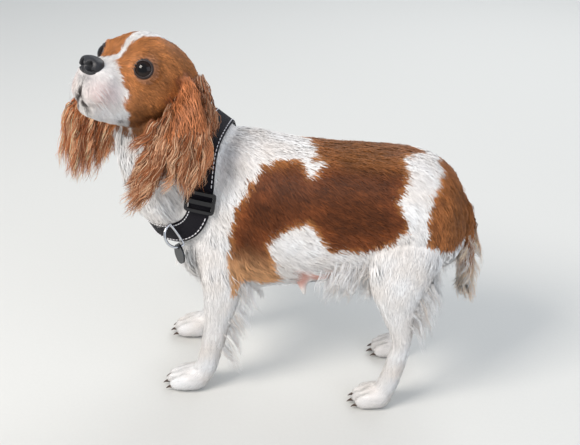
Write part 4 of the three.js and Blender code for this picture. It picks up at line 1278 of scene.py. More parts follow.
# The ears' hair as lobes, each from its front edge to its back: where locks start (head frame), swing and
# end.
EAR_LOBES = {
    "left": [
        (
            36,
            [[-32, 45, -24], [-40, 48, -12], [-50, 47, -3], [-58, 44, 2]],
            [[-126, -82, 310], [-118, -90, 306], [-108, -94, 306]],
            [[-160, -78, 256], [-158, -84, 240], [-146, -86, 236], [-134, -86, 250]],
        ),
        (
            44,
            [[-46, 48, -6], [-56, 46, 1], [-66, 38, 4], [-76, 30, 2]],
            [[-110, -92, 312], [-92, -94, 318], [-76, -90, 324], [-68, -80, 330]],
            [[-122, -86, 260], [-104, -88, 256], [-86, -88, 260], [-74, -84, 272], [-68, -76, 290]],
        ),
        (
            12,
            [[-58, 42, 8], [-68, 36, 9], [-78, 24, 8]], [[-86, -62, 350], [-80, -48, 348], [-78, -30, 344]],
            [[-70, -76, 318], [-66, -62, 314], [-68, -44, 312]],
        ),
        (
            2,
            [[-30, 44, -24], [-36, 46, -16]], [[-120, -66, 338], [-126, -72, 330]],
            [[-142, -78, 314], [-148, -82, 300]],
        ),
    ],
    "right": [
        (
            40,
            [[-30, -46, -20], [-40, -48, -10], [-52, -46, -1]],
            [[-204, -2, 306], [-222, -8, 308], [-242, -6, 314]],
            [[-202, 0, 262], [-214, -6, 244], [-232, -6, 230], [-248, 0, 226]],
        ),
        (
            40,
            [[-44, -48, -6], [-58, -44, 1], [-72, -34, 4]],
            [[-244, -4, 318], [-262, 8, 322], [-266, 20, 322], [-254, 28, 312]],
            [[-244, -2, 228], [-262, 6, 228], [-270, 14, 240], [-270, 20, 256], [-260, 26, 264]],
        ),
    ],
}
EAR_OUT = {"left": (0.05, -1, 0.2), "right": (-0.5, -0.8, 0.15)}
EAR_CURL = {"left": (-12, 0, -1), "right": (-6, -3, 2)}
EAR_STRANDS = 30


EAR_WAVE = (3.2, 31)


def ear_guides(side, lobe, random):
    """Guides of one lobe: paths start round the ear's root, swing out and end on its lower outline. Many
    start lower down their path, so that the layers overlap like tiles, and some run inside, under the
    others."""
    count, starts, swings, ends = lobe
    q = random.uniform(0, 1, count)
    layer = (random.random(count) ** 1.6 * 0.6)[:, None]
    start, swing, end = in_head(catmull(starts, q)), catmull(swings, q), catmull(ends, q)
    out = unit(np.array(EAR_OUT[side], float) + random.normal(0, 0.1, (count, 3)))
    inner = (random.random(count) < 0.35)[:, None] * random.uniform(6, 16, (count, 1))
    swing = swing - out * inner
    begin = bezier(start, blend(start, swing, 0.7), swing, end, layer) - out * 2
    short = random.uniform(0.8, 1.03, count)[:, None]
    end = begin + (end - begin) * short - out * inner * 0.6
    curl = np.array(EAR_CURL[side]) * random.uniform(-0.3, 1.2, (count, 1))
    knees = blend(begin, swing, 0.55) + out * 4 * (1 - layer)
    pulls = blend(swing, end, 0.6) - curl * 0.6
    return np.stack([begin, knees, pulls, end + curl * 0.5], axis=1), out


def ear_hair(side, pelt, shades, random):
    """Long waves over one ear, lobe by lobe."""
    parts = []
    for lobe in EAR_LOBES[side]:
        guides, out = ear_guides(side, lobe, random)
        uvs = pelt.nearest_uv(guides[:, 0])
        parts.append(hair_locks(guides, out, EAR_STRANDS, 4.6, 0.34, EAR_WAVE, uvs, shades, random, 13, 0.4))
    return parts


# Materials


def add_node(tree, kind, values=None, links=None, **settings):
    """A node with its settings, its input values and the outputs linked into it."""
    node = tree.nodes.new(kind)
    for key, value in settings.items():
        setattr(node, key, value)
    for key, value in (values or {}).items():
        node.inputs[key].default_value = value
    for key, output in (links or {}).items():
        tree.links.new(output, node.inputs[key])
    return node


def rgba(colour):
    """A linear colour with full cover."""
    return (*[float(v) for v in colour], 1.0)


def new_material(name, values):
    """An empty material, its tree, and its shader with the given values."""
    material = bpy.data.materials.new(name)
    material.use_nodes = True
    tree = material.node_tree
    tree.nodes.clear()
    shader = add_node(tree, "ShaderNodeBsdfPrincipled", values)
    add_node(tree, "ShaderNodeOutputMaterial", links={"Surface": shader.outputs[0]})
    return material, tree, shader


def painted_material(name, values):
    """A material whose colour is the piece's Coat attribute."""
    material, tree, shader = new_material(name, values)
    coat = add_node(tree, "ShaderNodeAttribute", attribute_name="Coat")
    tree.links.new(coat.outputs["Color"], shader.inputs["Base Color"])
    return material


def mottle_and_relief(tree, shader, colour, ends, pattern, height, strength, depth):
    """Gives a shader a colour that a pattern varies between its two `ends` times itself, and a height's
    relief."""
    dark, light = (rgba(np.array(colour) * end) for end in ends)
    tone = add_node(tree, "ShaderNodeMix", {"A": dark, "B": light}, {"Factor": pattern}, data_type="RGBA")
    bump = add_node(tree, "ShaderNodeBump", {"Strength": strength, "Distance": depth}, {"Height": height})
    tree.links.new(tone.outputs["Result"], shader.inputs["Base Color"])
    tree.links.new(bump.outputs[0], shader.inputs["Normal"])
    return tone


def skin_material():
    """Haired skin: flat short fur as fine bumps 0.8 mm apart, dull beneath the tufts."""
    material, tree, shader = new_material("short flat fur on skin", {"Roughness": 0.75})
    place = add_node(tree, "ShaderNodeTexCoord").outputs["Object"]
    coat = add_node(tree, "ShaderNodeAttribute", attribute_name="Coat").outputs["Color"]
    fur = {"Scale": 620.0, "Detail": 2.0}
    grain = add_node(tree, "ShaderNodeTexNoise", fur, {"Vector": place}).outputs["Fac"]
    shade = add_node(tree, "ShaderNodeMapRange", {"To Min": 0.78, "To Max": 1.06}, {"Value": grain})
    tint = add_node(tree, "ShaderNodeVectorMath", None, {0: coat, 1: shade.outputs[0]}, operation="MULTIPLY")
    bump = add_node(tree, "ShaderNodeBump", {"Strength": 0.6, "Distance": 0.0006}, {"Height": grain})
    tree.links.new(tint.outputs[0], shader.inputs["Base Color"])
    tree.links.new(bump.outputs[0], shader.inputs["Normal"])
    return material


def moist_skin_material(name, colour, roughness, scale, depth, painted=False):
    """Bare pigmented skin, moist and pebbled: rounded cells of the given scale, mottled in one colour or, on
    a painted piece, in the piece's own Coat colours."""
    material, tree, shader = new_material(name, {"Roughness": roughness})
    place = add_node(tree, "ShaderNodeTexCoord").outputs["Object"]
    cells = add_node(tree, "ShaderNodeTexVoronoi", {"Scale": scale}, {"Vector": place}, feature="SMOOTH_F1")
    blotch = add_node(tree, "ShaderNodeTexNoise", {"Scale": 160.0}, {"Vector": place}).outputs["Fac"]
    tone = mottle_and_relief(tree, shader, colour, (0.6, 1.5), blotch, cells.outputs["Distance"], 0.7, depth)
    if painted:
        coat = add_node(tree, "ShaderNodeAttribute", attribute_name="Coat")
        tree.links.new(coat.outputs["Color"], tone.inputs["A"])
    return material


def hard_material(name, colour, roughness, metallic=0.0, grain=900.0, contrast=0.15):
    """A hard finish with a fine grain: noise of the given scale in colour, gloss and bump."""
    material, tree, shader = new_material(name, {"Metallic": metallic})
    place = add_node(tree, "ShaderNodeTexCoord").outputs["Object"]
    fine = {"Scale": grain, "Detail": 3.0}
    speck = add_node(tree, "ShaderNodeTexNoise", fine, {"Vector": place}).outputs["Fac"]
    span = {"To Min": roughness * 0.8, "To Max": roughness * 1.25}
    gloss = add_node(tree, "ShaderNodeMapRange", span, {"Value": speck})
    tree.links.new(gloss.outputs[0], shader.inputs["Roughness"])
    mottle_and_relief(tree, shader, colour, (1 - contrast, 1 + contrast), speck, speck, 0.4, 0.00005)
    return material


# Collar

COLLAR_MIDDLE = np.array([-117.0, -2, 252])
STRAP_WIDTH = 24
STRAP_THICKNESS = 2.6
SLIDER_ANGLE = 86
SLIDER_HIDES = 12  # degrees of the strap to each side of the slider's middle
RING_ANGLE = 127
RING_RADIUS = 13.8
RING_WIRE = 1.5
RING_BOW = 1.6
GAP = 0.3


def collar_point(angle):
    """The collar's middle line: a tilted ellipse, drawn back at the sides by terms in sin^2."""
    c, s = np.cos(angle), np.sin(angle)
    x = 43 * c + s * s * (33 - 25 * c)
    z = 62 * c - s * s * (12 - 17 * c)
    return COLLAR_MIDDLE + np.stack([x, -62 * s, z], -1)


def strap_frame(angle):
    """Middle, outward and across directions of the strap at an angle from the nape down the left side."""
    angle = np.asarray(angle, float)
    along = unit(collar_point(angle + 0.01) - collar_point(angle - 0.01))
    c, s = np.cos(angle), np.sin(angle)
    out = np.stack([c * (0.72 - 0.16 * c), -s, c * (0.64 + 0.17 * c)], -1)
    out = unit(out - np.sum(out * along, -1, keepdims=True) * along)
    return collar_point(angle), out, np.cross(along, out)


def by_strap(points):
    """How far each point lies across the strap from its middle line and out from it, and the way out
    there."""
    middle, out, across = strap_frame(np.linspace(0, 2 * np.pi, 90, endpoint=False))
    k = nearest(points, middle)
    near = points - middle[k]
    return np.abs(np.sum(near * across[k], 1)), np.sum(near * out[k], 1), out[k]


def collar_cover(points):
    """1 under the strap, where no hair shows, and 0 elsewhere."""
    wide, high, _ = by_strap(points)
    return ((wide < STRAP_WIDTH / 2 - 3) & (np.abs(high) < 16)).astype(float)


STRAP_BED = -2.4  # how far out the skin under the strap lies from the strap's middle
STRAP_HOLD = 22  # how far to each side of the strap the skin is drawn to it


def fit_collar(points):
    """The skin raised or pressed to the underside of the strap, fading away from its edges."""
    wide, high, out = by_strap(points)
    share = 1 - smoothstep(STRAP_WIDTH / 2 - 2, STRAP_HOLD, wide)
    move = np.clip(STRAP_BED - high, -9, 11) * share * (np.abs(high) < 24)
    return points + move[:, None] * out


def collar_room(points):
    """The share of its length that a tuft keeps, so that the hair beside the strap does not cover it."""
    wide, high, _ = by_strap(points)
    return np.where(np.abs(high) < 16, blend(0.35, 1.0, smoothstep(9, 32, wide)), 1.0)


def round_section(width, height, count):
    """An ellipse of the given half width and half height, as [across, out] points."""
    turn = np.linspace(0, 2 * np.pi, count, endpoint=False)
    return np.column_stack([width * np.cos(turn), height * np.sin(turn)])


def rounded_section(half, thick, radius=0.9, steps=3):
    """A flat band's section with rounded corners, as [across, out] points."""
    points = []
    for k, (x, y) in enumerate([(1, 1), (-1, 1), (-1, -1), (1, -1)]):
        for a in math.pi / 2 * (k + np.arange(steps + 1) / steps):
            across = x * (half - radius) + radius * math.cos(a)
            points.append([across, y * (thick - radius) + radius * math.sin(a)])
    return points


STITCH_LENGTH = 3.4
STITCH_PITCH = 5.0
STITCH_INSET = 2.6  # from the strap's edge
STITCH_RADII = [0.35, 0.52, 0.56, 0.52, 0.35]


def stitches():
    """White thread along both edges of the strap: short round bars, one every STITCH_PITCH, each risen by a
    sine of its length."""
    angles = np.linspace(0, 2 * np.pi, 2000)
    run = np.concatenate([[0], np.cumsum(np.linalg.norm(np.diff(collar_point(angles), axis=0), axis=1))])
    starts = np.arange(0, run[-1] - STITCH_LENGTH, STITCH_PITCH)
    rise = STRAP_THICKNESS / 2 + 0.25 * np.sin(np.linspace(0, np.pi, 5)) - 0.05
    bodies = []
    for edge in (-1, 1):
        for start in starts:
            a = np.interp(start + STITCH_LENGTH * np.linspace(0, 1, 5), run, angles)
            if abs(math.degrees(a[2]) - SLIDER_ANGLE) < SLIDER_HIDES:
                continue
            middle, out, across = strap_frame(a)
            path = middle + across * edge * (STRAP_WIDTH / 2 - STITCH_INSET) + out * rise[:, None]
            bodies.append(tube(path, STITCH_RADII, 6, 1.0, out[2]))
    return gathered(bodies)


def ring_frame():
    """The D-ring's middle, the direction of its bow, its bar's direction and its normal."""
    middle, out, across = strap_frame(np.array(math.radians(RING_ANGLE)))
    centre = middle + out * (STRAP_THICKNESS / 2 + RING_BOW + GAP + RING_WIRE)
    drop = out + np.array([0, 0, -0.9])
    drop = unit(drop - np.dot(drop, across) * across)
    return centre, drop, across, np.cross(across, drop)


def ring_point(angle):
    """The D-ring's wire: a half circle closed by a nearly straight bar."""
    centre, drop, across, _ = ring_frame()
    rise = np.sin(angle) * np.where(np.sin(angle) > 0, RING_RADIUS, RING_BOW)
    return centre + across * (RING_RADIUS * np.cos(angle))[..., None] + drop * rise[..., None]


def ring_body():
    """The D-ring as a round wire along its closed line."""
    normal = ring_frame()[3]

    def frame_at(angle):
        """The wire's middle, outward and across directions at an angle round the ring."""
        run = unit(ring_point(angle + 0.02) - ring_point(angle - 0.02))
        return ring_point(angle), np.cross(run, normal), np.broadcast_to(normal, run.shape)

    return loop_band(96, round_section(RING_WIRE, RING_WIRE, 14), frame_at)


def webbing_material(colour):
    """Woven nylon webbing: ribs 1.2 mm apart across the strap and a fine twill along it."""
    values = {"Roughness": 0.62, "Specular IOR Level": 0.2}
    material, tree, shader = new_material("ribbed nylon webbing", values)
    place = add_node(tree, "ShaderNodeTexCoord").outputs
    wave = {"Scale": 7.0, "Distortion": 0.4, "Detail": 1.0}
    ribs = add_node(tree, "ShaderNodeTexWave", wave, {"Vector": place["UV"]}).outputs["Fac"]
    twill = add_node(tree, "ShaderNodeTexNoise", {"Scale": 1500.0}, {"Vector": place["Object"]})
    both = {0: ribs, 1: twill.outputs["Fac"]}
    weave = add_node(tree, "ShaderNodeMath", None, both, operation="MULTIPLY")
    mottle_and_relief(tree, shader, colour, (0.5, 1.8), ribs, weave.outputs[0], 0.8, 0.0005)
    return material


# Settings


def colour(name, description, code):
    """A colour setting with an sRGB hex default."""
    return bpy.props.FloatVectorProperty(
        name=name, description=description, subtype="COLOR", size=3, default=linear(code)
    )


class SpanielColours(bpy.types.PropertyGroup):
    """Colours of the coat and the bare parts."""

    white: colour("White", "White coat", "#f4f4f5")
    cream: colour("Cream", "Warm tint in the white", "#e2d6cb")
    chestnut: colour("Chestnut", "Red patches", "#6f3b1d")
    liver: colour("Liver", "Dark middle of a patch", "#4e2810")
    tan: colour("Tan", "Light edge of a patch", "#a8703f")
    face: colour("Face", "Red of the head and ears", "#b0703f")
    ear: colour("Ear", "Red of the long ear hair", "#b06d45")
    ear_light: colour("Ear light", "Blond strands of the ears", "#f0caa6")
    ear_dark: colour("Ear dark", "Deep strands of the ears", "#5c2f1c")
    # The elbow tan is a real tan, made lighter as painted light against the shade on the low side of the
    # body.
    lobe_tan_and_painted_light: colour("Elbow tan", "Light patch by the elbow", "#d6a072")
    muzzle_pink: colour("Muzzle pink", "Skin through the muzzle", "#dfb5b0")
    lid_skin: colour("Lid skin", "Pale skin round the lids", "#8f6f62")
    pink: colour("Pink", "Skin that shows through", "#d8a396")
    # The muzzle grey is partly pigment below the nose and partly painted shade there and along the mouth's
    # groove.
    muzzle_grey_and_painted_shade: colour("Muzzle grey", "Pigment below the nose", "#6d6468")
    nose: colour("Nose", "Nose leather", "#1d1d21")
    lips: colour("Lips", "Lips and lids", "#2a1d1b")
    webbing: colour("Webbing", "Collar webbing", "#0d0a13")


class SpanielSizes(bpy.types.PropertyGroup):
    """Sizes that a user would change."""

    coat_length: bpy.props.FloatProperty(
        name="Coat length", description="Length of the body's tufts", default=0.017, unit="LENGTH"
    )
    claw_length: bpy.props.FloatProperty(
        name="Claw length", description="Length of a claw", default=0.009, unit="LENGTH"
    )


BUILT = {}  # the pelt, its markings and the hair's material, from the skin's operator to the coat's


def built(key):
    """The pelt, markings or hair material that the skin's operator made."""
    if key not in BUILT:
        raise RuntimeError("make the skin before the coat")
    return BUILT[key]


class SPANIEL_OT_skin(bpy.types.Operator):
    """Make the skin over all the flesh"""

    bl_idname = "spaniel.skin"
    bl_label = "Skin"

    def execute(self, context):
        markings = Markings(context.scene.spaniel_colours)
        # Dog hair: keratin strands with a soft gloss along them.
        hair = painted_material("silky dog hair", {"Roughness": 0.48, "Specular IOR Level": 0.22})
        BUILT.update(pelt=build_skin(markings, skin_material()), markings=markings, hair=hair)
        return {"FINISHED"}


class SPANIEL_OT_short_coat(bpy.types.Operator):
    """Lay the short coat over the body, head, legs and paws"""

    bl_idname = "spaniel.short_coat"
    bl_label = "Short coat"

    def execute(self, context):
        pelt, markings = built("pelt"), built("markings")
        share = context.scene.spaniel_sizes.coat_length / (SHORT_COATS[0].length * MM)
        for k, coat in enumerate(SHORT_COATS):
            random = np.random.default_rng(100 + k)
            roots = pelt.roots(coat.count, piece_weights(pelt, coat), random)
            length = coat_length(roots.places, coat.length) if coat.length > LONG_COAT else coat.length
            length = length * collar_room(roots.places)
            tufts = short_tufts(roots, length * share, coat, markings, random)
            hair_piece(coat.name, [tufts], built("hair"), True)
        return {"FINISHED"}


# Painted light on the ears' long hair: the right ear's colours are 1.45 times brighter, against the shade
# that the head casts on it.
EAR_PAINTED_LIGHT = {"left": 1.0, "right": 1.45}


class SPANIEL_OT_ears(bpy.types.Operator):
    """Hang the long wavy hair of the ears"""

    bl_idname = "spaniel.ears"
    bl_label = "Ear hair"

    def execute(self, context):
        pelt = built("pelt")
        colours = context.scene.spaniel_colours
        for k, (side, painted_light) in enumerate(EAR_PAINTED_LIGHT.items()):
            mix = (np.array(c) * painted_light for c in (colours.ear, colours.ear_light, colours.ear_dark))
            hair = ear_hair(side, pelt, strand_shades(*mix), np.random.default_rng(200 + k))
            hair_piece(f"hair_ear_{side}", hair, built("hair"))
        return {"FINISHED"}


BELLY_FRINGES = [
    Fringe(TORSO, (0.3, 0.42), (225, 315), (0.6, 0, -1), 22, 30, 2, 5, 18),
    Fringe(TORSO, (0.56, 0.76), (205, 335), (-0.1, 0, -1), 36, 50, 3, 6, 18),
    Fringe(TORSO, (0.56, 0.76), (300, 342), (-0.3, -0.1, -1), 36, 56, 2, 6, 18),
    Fringe(TORSO, (0.03, 0.14), (215, 325), (0.5, 0, -1), 20, 40, 2, 5, 16),
]
FRONT_FRINGES = [
    Fringe(LEGS[f"front_leg_{side}"], (0.2, 0.66), (245, 295), (0.5, 0, -1), 32, 30, 6, 6, 18, 3)
    for side in SIDES
]
HIND_FRINGES = [
    Fringe(LEGS[f"hind_leg_{side}"], (0.18, 0.46), (240, 300), (0.5, 0, -1), 34, 34, 6, 6, 18, 4)
    for side in SIDES
]
TAIL_FRINGES = [
    Fringe(TAIL, (0.12, 0.62), (0, 360), (0, 0, -1), 38, 46, 0, 5, 22, 3),
    Fringe(TAIL, (0.5, 0.97), (0, 360), (0.05, 0, -1), 31, 64, 0, 6, 22, 7),
]
THROAT_FRINGES = [
    Fringe(NECK, (0.4, 0.8), (20, 160), (0.25, -0.1, -1), 20, 56, 0, 4, 20),
    Fringe(NECK, (0.55, 0.95), (220, 320), (0.55, 0, -1), 26, 30, 2, 5, 20),
]


class SPANIEL_OT_feathering(bpy.types.Operator):
    """Hang the feathering of the chest, belly, legs and tail"""

    bl_idname = "spaniel.feathering"
    bl_label = "Feathering"

    def execute(self, context):
        pelt = built("pelt")
        colours = context.scene.spaniel_colours
        white = strand_shades(colours.white, colours.white, colours.cream, 0.35, 0.05)
        brown = strand_shades(colours.face, colours.cream, colours.chestnut, 0.35)
        # The tail's pale feathering: a real cream, made lighter as painted light against the shade on the
        # back of the tail.
        pale = strand_shades(linear("#f4dfc6"), colours.white, linear("#dfb78f"), 0.5)
        # Each piece: its fringes, coat depth, and for each fringe its shades, strand width and wave.
        groups = {
            "hair_belly": (300, BELLY_FRINGES, 5, [(white, 0.2, (2.2, 26))] * 4),
            "hair_front_legs": (301, FRONT_FRINGES, 2.5, [(white, 0.2, (2.2, 26))] * 2),
            "hair_hind_legs": (302, HIND_FRINGES, 2.5, [(white, 0.2, (2.2, 26))] * 2),
            "hair_tail": (310, TAIL_FRINGES, 6, [(brown, 0.32, (1.8, 26)), (pale, 0.28, (2.4, 24))]),
            "hair_throat": (311, THROAT_FRINGES, 6, [(white, 0.22, (1.6, 22))] * 2),
        }
        for name, (seed, fringes, depth, looks) in groups.items():
            random = np.random.default_rng(seed)
            parts = [hang(fringe, depth, pelt, *look, random) for fringe, look in zip(fringes, looks)]
            hair_piece(name, parts, built("hair"))
        return {"FINISHED"}


LID_OPENING = 9.2


def lid_rim(sign):
    """The lids' rim: a soft ring that lies on the eyeball round its opening, a little flattened above."""
    centre, gaze = eye_centre(sign), eye_gaze(sign)
    side = unit(np.cross(gaze, UP))
    up = np.cross(side, gaze)
    a = np.linspace(0, 2 * np.pi, 64, endpoint=False)
    opening = LID_OPENING * (1 - 0.05 * np.sin(a) ** 2 + 0.02 * np.cos(a))
    ahead = np.sqrt(EYE_RADIUS**2 - opening**2)
    radial = np.cos(a)[:, None] * side + np.sin(a)[:, None] * up
    middle = centre + radial * opening[:, None] + gaze * (ahead + 0.4)[:, None]
    normal = unit(middle - centre)
    along = np.roll(middle, -1, 0) - np.roll(middle, 1, 0)

    def frame_at(angle):
        """The rim's middle, outward and across directions at its own steps, whatever the angles."""
        return middle, normal, unit(np.cross(normal, along))

    return loop_band(64, round_section(1.5, 0.85, 10), frame_at)


# The eyeball's rings: the degrees from the gaze over which each colour comes in.
EYE_RINGS = [("#1b0d07", 22, 27), ("#0d0807", 44, 50), ("#c9bdb4", 56, 62)]


class SPANIEL_OT_eyes(bpy.types.Operator):
    """Set the eyes and the lids round them"""

    bl_idname = "spaniel.eyes"
    bl_label = "Eyes and lids"

    def execute(self, context):
        # A dog's eye: a very dark brown iris round a black pupil, under a wet, clear cornea.
        glass = painted_material("wet brown eye", {"Roughness": 0.02, "IOR": 1.38})
        for side, sign in SIDES.items():
            points, triangles = ball(eye_centre(sign), EYE_RADIUS, 40, 48, eye_gaze(sign))
            off_gaze = np.degrees(np.arccos(np.clip(unit(points - eye_centre(sign)) @ eye_gaze(sign), -1, 1)))
            shades = linear("#080607")
            for code, start, end in EYE_RINGS:
                shades = tinted(shades, linear(code), smoothstep(start, end, off_gaze))
            eye = make_piece(f"eyeball_{side}", points, triangles, glass, shades)
            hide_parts(f"eye_{side}")
        lids = gathered([lid_rim(sign) for sign in SIDES.values()])
        rim = moist_skin_material("dark lid rims", context.scene.spaniel_colours.lips, 0.35, 900.0, 0.0001)
        make_piece("lids", *lids, rim)
        return {"FINISHED"}


class SPANIEL_OT_nose(bpy.types.Operator):
    """Make the nose leather with its nostrils"""

    bl_idname = "spaniel.nose"
    bl_label = "Nose"

    def execute(self, context):
        black = context.scene.spaniel_colours.nose
        grid = NOSE.grid(60, 72)
        h = to_head(grid.reshape(-1, 3))
        tone = np.ones(len(h))
        for sign in SIDES.values():
            hole = np.exp(-(np.linalg.norm((h - [46, sign * 6.4, -12]) / [9, 3.5, 4.3], axis=1) ** 4))
            slit = np.linalg.norm((h - [42, sign * 11, -15.6]) / [9, 5.4, 1.3], axis=1)
            cut = np.exp(-(slit**2) * 1.6)
            h[:, 0] -= 7 * hole + 3 * cut
            h[:, 1] -= 1.6 * sign * cut
            # Painted shade inside the nostrils: the holes and slits are darkened by up to 0.9.
            tone *= 1 - 0.9 * np.maximum(hole, cut)
        h[:, 0] -= bell(h[:, 1], 0.8) * (h[:, 2] < -9)
        points, triangles = closed_grid(in_head(h).reshape(grid.shape))
        inner = tone.reshape(grid.shape[:2])[1:-1].ravel()
        shades = np.append(inner, [1, 1])[:, None] * np.array(black)
        leather = moist_skin_material("pebbled nose leather", black, 0.46, 1300.0, 0.0002, painted=True)
        nose = make_piece("nose_leather", points, triangles, leather, shades)
        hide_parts("nose")
        return {"FINISHED"}


class SPANIEL_OT_whiskers(bpy.types.Operator):
    """Set fine white whiskers on the muzzle"""

    bl_idname = "spaniel.whiskers"
    bl_label = "Whiskers"

    def execute(self, context):
        pelt = built("pelt")
        random = np.random.default_rng(400)
        spots = random.uniform([26, 14, -44], [42, 20, -26], (18, 3))
        roots = np.array([[f, side * l, u] for f, l, u in spots for side in (-1, 1)])
        places = pelt.points[nearest(in_head(roots), pelt.points)]
        side = np.sign(roots[:, 1])[:, None]
        out = unit(side * LEFT + 0.25 * FORWARD + random.normal(0, 0.15, (len(roots), 3)))
        run = unit(-FORWARD * 0.7 + side * LEFT * 0.55 - UP * 0.6 + random.normal(0, 0.12, (len(roots), 3)))
        length = random.uniform(16, 30, (len(roots), 1))
        knees, pulls = places + out * length * 0.35, places + (out + run) * length * 0.4
        guides = np.stack([places, knees, pulls, places + run * length], 1)
        white = strand_shades(*[context.scene.spaniel_colours.white] * 3)
        locks = hair_locks(guides, out, 1, 0.0, 0.13, (0.3, 30), pelt.nearest_uv(places), white, random)
        hair_piece("whiskers", [locks], built("hair"))
        return {"FINISHED"}


CLAW_HEIGHT = 0.3  # mm from the floor to the lowest claw


class SPANIEL_OT_claws(bpy.types.Operator):
    """Put a claw on each toe"""

    bl_idname = "spaniel.claws"
    bl_label = "Claws"

    def execute(self, context):
        length = context.scene.spaniel_sizes.claw_length / MM
        s = np.linspace(0, 1, 7)[:, None]
        radii = 1.7 * (1 - s[:, 0] ** 1.5) + 0.2
        bodies = []
        for (x, y, z), paw_length, width in PAWS.values():
            for across, reach in TOES:
                root = np.array([x - paw_length * reach, y + across * width * 1.04, z - 4.5])
                path = root + s * [-length * 0.8, 0, 0] + s**2 * [0, 0, -length * 0.42] + [1.5, 0, 0]
                bodies.append(tube(path, radii, 8, 1.1))
        points, triangles = gathered(bodies)
        points[:, 2] = np.maximum(points[:, 2], CLAW_HEIGHT)
        horn = moist_skin_material("dark horn claws", linear("#4a3b33"), 0.35, 500.0, 0.0001)
        make_piece("claws", points, triangles, horn)
        return {"FINISHED"}


STRAP_STEPS = 220
RIB_BANDS = 40  # lengths of the strap's UV map along it


def refinish(name, material):
    """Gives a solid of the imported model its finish."""
    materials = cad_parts[name].data.materials
    materials.clear()
    materials.append(material)


class SPANIEL_OT_collar(bpy.types.Operator):
    """Make the collar's strap, stitching, slider, D-ring and tag"""

    bl_idname = "spaniel.collar"
    bl_label = "Collar"

    def execute(self, context):
        section = rounded_section(STRAP_WIDTH / 2, STRAP_THICKNESS / 2)
        points, triangles = loop_band(STRAP_STEPS, section, strap_frame)
        count = len(section)
        steps = np.repeat(np.arange(STRAP_STEPS), count) / STRAP_STEPS
        uvs = np.column_stack([steps * RIB_BANDS, np.tile(np.arange(count) / count, STRAP_STEPS)])
        webbing = webbing_material(context.scene.spaniel_colours.webbing)
        strap = make_piece("webbing_strap", points, triangles, webbing, None, uvs)
        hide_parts("collar_strap")
        thread = hard_material("white polyester thread", linear("#eceaee"), 0.6, grain=2500.0)
        make_piece("stitching", *stitches(), thread)
        steel = hard_material("nickel-plated steel", linear("#c8c9cc"), 0.18, 1.0, 300.0)
        ring = make_piece("steel_ring", *ring_body(), steel)
        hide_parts("d_ring")
        refinish("collar_slider", hard_material("moulded black plastic", linear("#0f0e12"), 0.42))
        refinish("tag", hard_material("glossy dark enamel", linear("#14151b"), 0.12, grain=200.0))
        return {"FINISHED"}


# The camera: degrees round the dog and down, the point it looks at, its distance and focal length in mm.
CAMERA_TURN = 10
CAMERA_PITCH = 27
CAMERA_TARGET = np.array([0, 0, 196.0])
CAMERA_DISTANCE = 1000.0
CAMERA_LENS = 55.86
SENSOR_WIDTH = 36
SKY_STRENGTH = 0.68
FLOOR_HALF = 3  # metres
# Each light: its place and size in metres, power in watts and colour.
LIGHTS = {
    "key": ((-1.2, -1.4, 2.0), 1.0, 54, "#fff8f0"),
    "fill": ((1.8, -1.2, 1.2), 1.6, 10, "#eaf1ff"),
    "back": ((0.6, 1.8, 1.8), 1.6, 22, "#ffffff"),
}


def point_at(thing, place, target):
    """Places an object and turns its -Z axis to the target, with +Y as near to up as it can be."""
    back = unit(place - target)
    right = unit(np.cross([0, 0, 1.0], back))
    rows = np.eye(4)
    rows[:3] = np.column_stack([right, np.cross(back, right), back, place])
    thing.matrix_world = Matrix(rows.tolist())


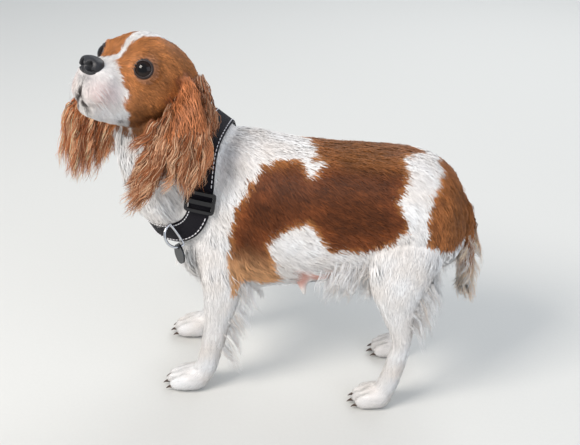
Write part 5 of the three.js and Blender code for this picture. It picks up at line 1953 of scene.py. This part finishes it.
class SPANIEL_OT_stage(bpy.types.Operator):
    """Set the pale floor, the soft lights and the camera"""

    bl_idname = "spaniel.stage"
    bl_label = "Stage"

    def execute(self, context):
        scene = context.scene
        mesh = bpy.data.meshes.new("floor")
        corners = [[FLOOR_HALF * x, FLOOR_HALF * y, 0] for x, y in ((-1, -1), (1, -1), (1, 1), (-1, 1))]
        mesh.from_pydata(corners, [], [[0, 1, 2, 3]])
        floor = add_object("floor", mesh)
        mesh.materials.append(hard_material("pale matte floor", linear("#d6d6d3"), 0.8, 0.0, 300.0, 0.03))
        world = bpy.data.worlds.new("soft sky")
        world.use_nodes = True
        background = world.node_tree.nodes["Background"]
        background.inputs["Color"].default_value = rgba(linear("#dfe6ee"))
        background.inputs["Strength"].default_value = SKY_STRENGTH
        scene.world = world
        for name, (place, size, power, tint) in LIGHTS.items():
            data = bpy.data.lights.new(name, "AREA")
            data.size = size
            data.energy = power
            data.color = linear(tint)
            point_at(add_object(name, data), np.array(place), np.array([0, 0, 0.2]))
        data = bpy.data.cameras.new("camera")
        data.lens = CAMERA_LENS
        data.sensor_width = SENSOR_WIDTH
        scene.camera = add_object("camera", data)
        turn, pitch = math.radians(CAMERA_TURN), math.radians(CAMERA_PITCH)
        flat = math.cos(pitch)
        back = np.array([math.sin(turn) * flat, -math.cos(turn) * flat, math.sin(pitch)])
        target = packed(CAMERA_TARGET)
        point_at(scene.camera, target + back * CAMERA_DISTANCE * MM, target)
        scene.view_settings.view_transform = "Standard"
        return {"FINISHED"}


class SPANIEL_PT_panel(bpy.types.Panel):
    """The spaniel's operators and settings"""

    bl_idname = "SPANIEL_PT_panel"
    bl_label = "Spaniel"
    bl_space_type = "VIEW_3D"
    bl_region_type = "UI"
    bl_category = "Spaniel"

    def draw(self, context):
        for operator in OPERATORS:
            self.layout.operator(operator.bl_idname)
        for settings in (context.scene.spaniel_colours, context.scene.spaniel_sizes):
            for key in settings.__annotations__:
                self.layout.prop(settings, key)


OPERATORS = (
    SPANIEL_OT_skin,
    SPANIEL_OT_short_coat,
    SPANIEL_OT_ears,
    SPANIEL_OT_feathering,
    SPANIEL_OT_eyes,
    SPANIEL_OT_nose,
    SPANIEL_OT_whiskers,
    SPANIEL_OT_claws,
    SPANIEL_OT_collar,
    SPANIEL_OT_stage,
)
CLASSES = (SpanielColours, SpanielSizes, *OPERATORS, SPANIEL_PT_panel)


def register():
    """Registers the classes and hangs their settings on the scene."""
    for cls in CLASSES:
        bpy.utils.register_class(cls)
    bpy.types.Scene.spaniel_colours = bpy.props.PointerProperty(type=SpanielColours)
    bpy.types.Scene.spaniel_sizes = bpy.props.PointerProperty(type=SpanielSizes)


def unregister():
    """Undoes what register did."""
    del bpy.types.Scene.spaniel_sizes
    del bpy.types.Scene.spaniel_colours
    for cls in reversed(CLASSES):
        bpy.utils.unregister_class(cls)


def main():
    """Makes the whole dog."""
    register()
    bpy.ops.spaniel.skin()
    bpy.ops.spaniel.short_coat()
    bpy.ops.spaniel.ears()
    bpy.ops.spaniel.feathering()
    bpy.ops.spaniel.eyes()
    bpy.ops.spaniel.nose()
    bpy.ops.spaniel.whiskers()
    bpy.ops.spaniel.claws()
    bpy.ops.spaniel.collar()
    bpy.ops.spaniel.stage()


if __name__ == "__main__":
    main()
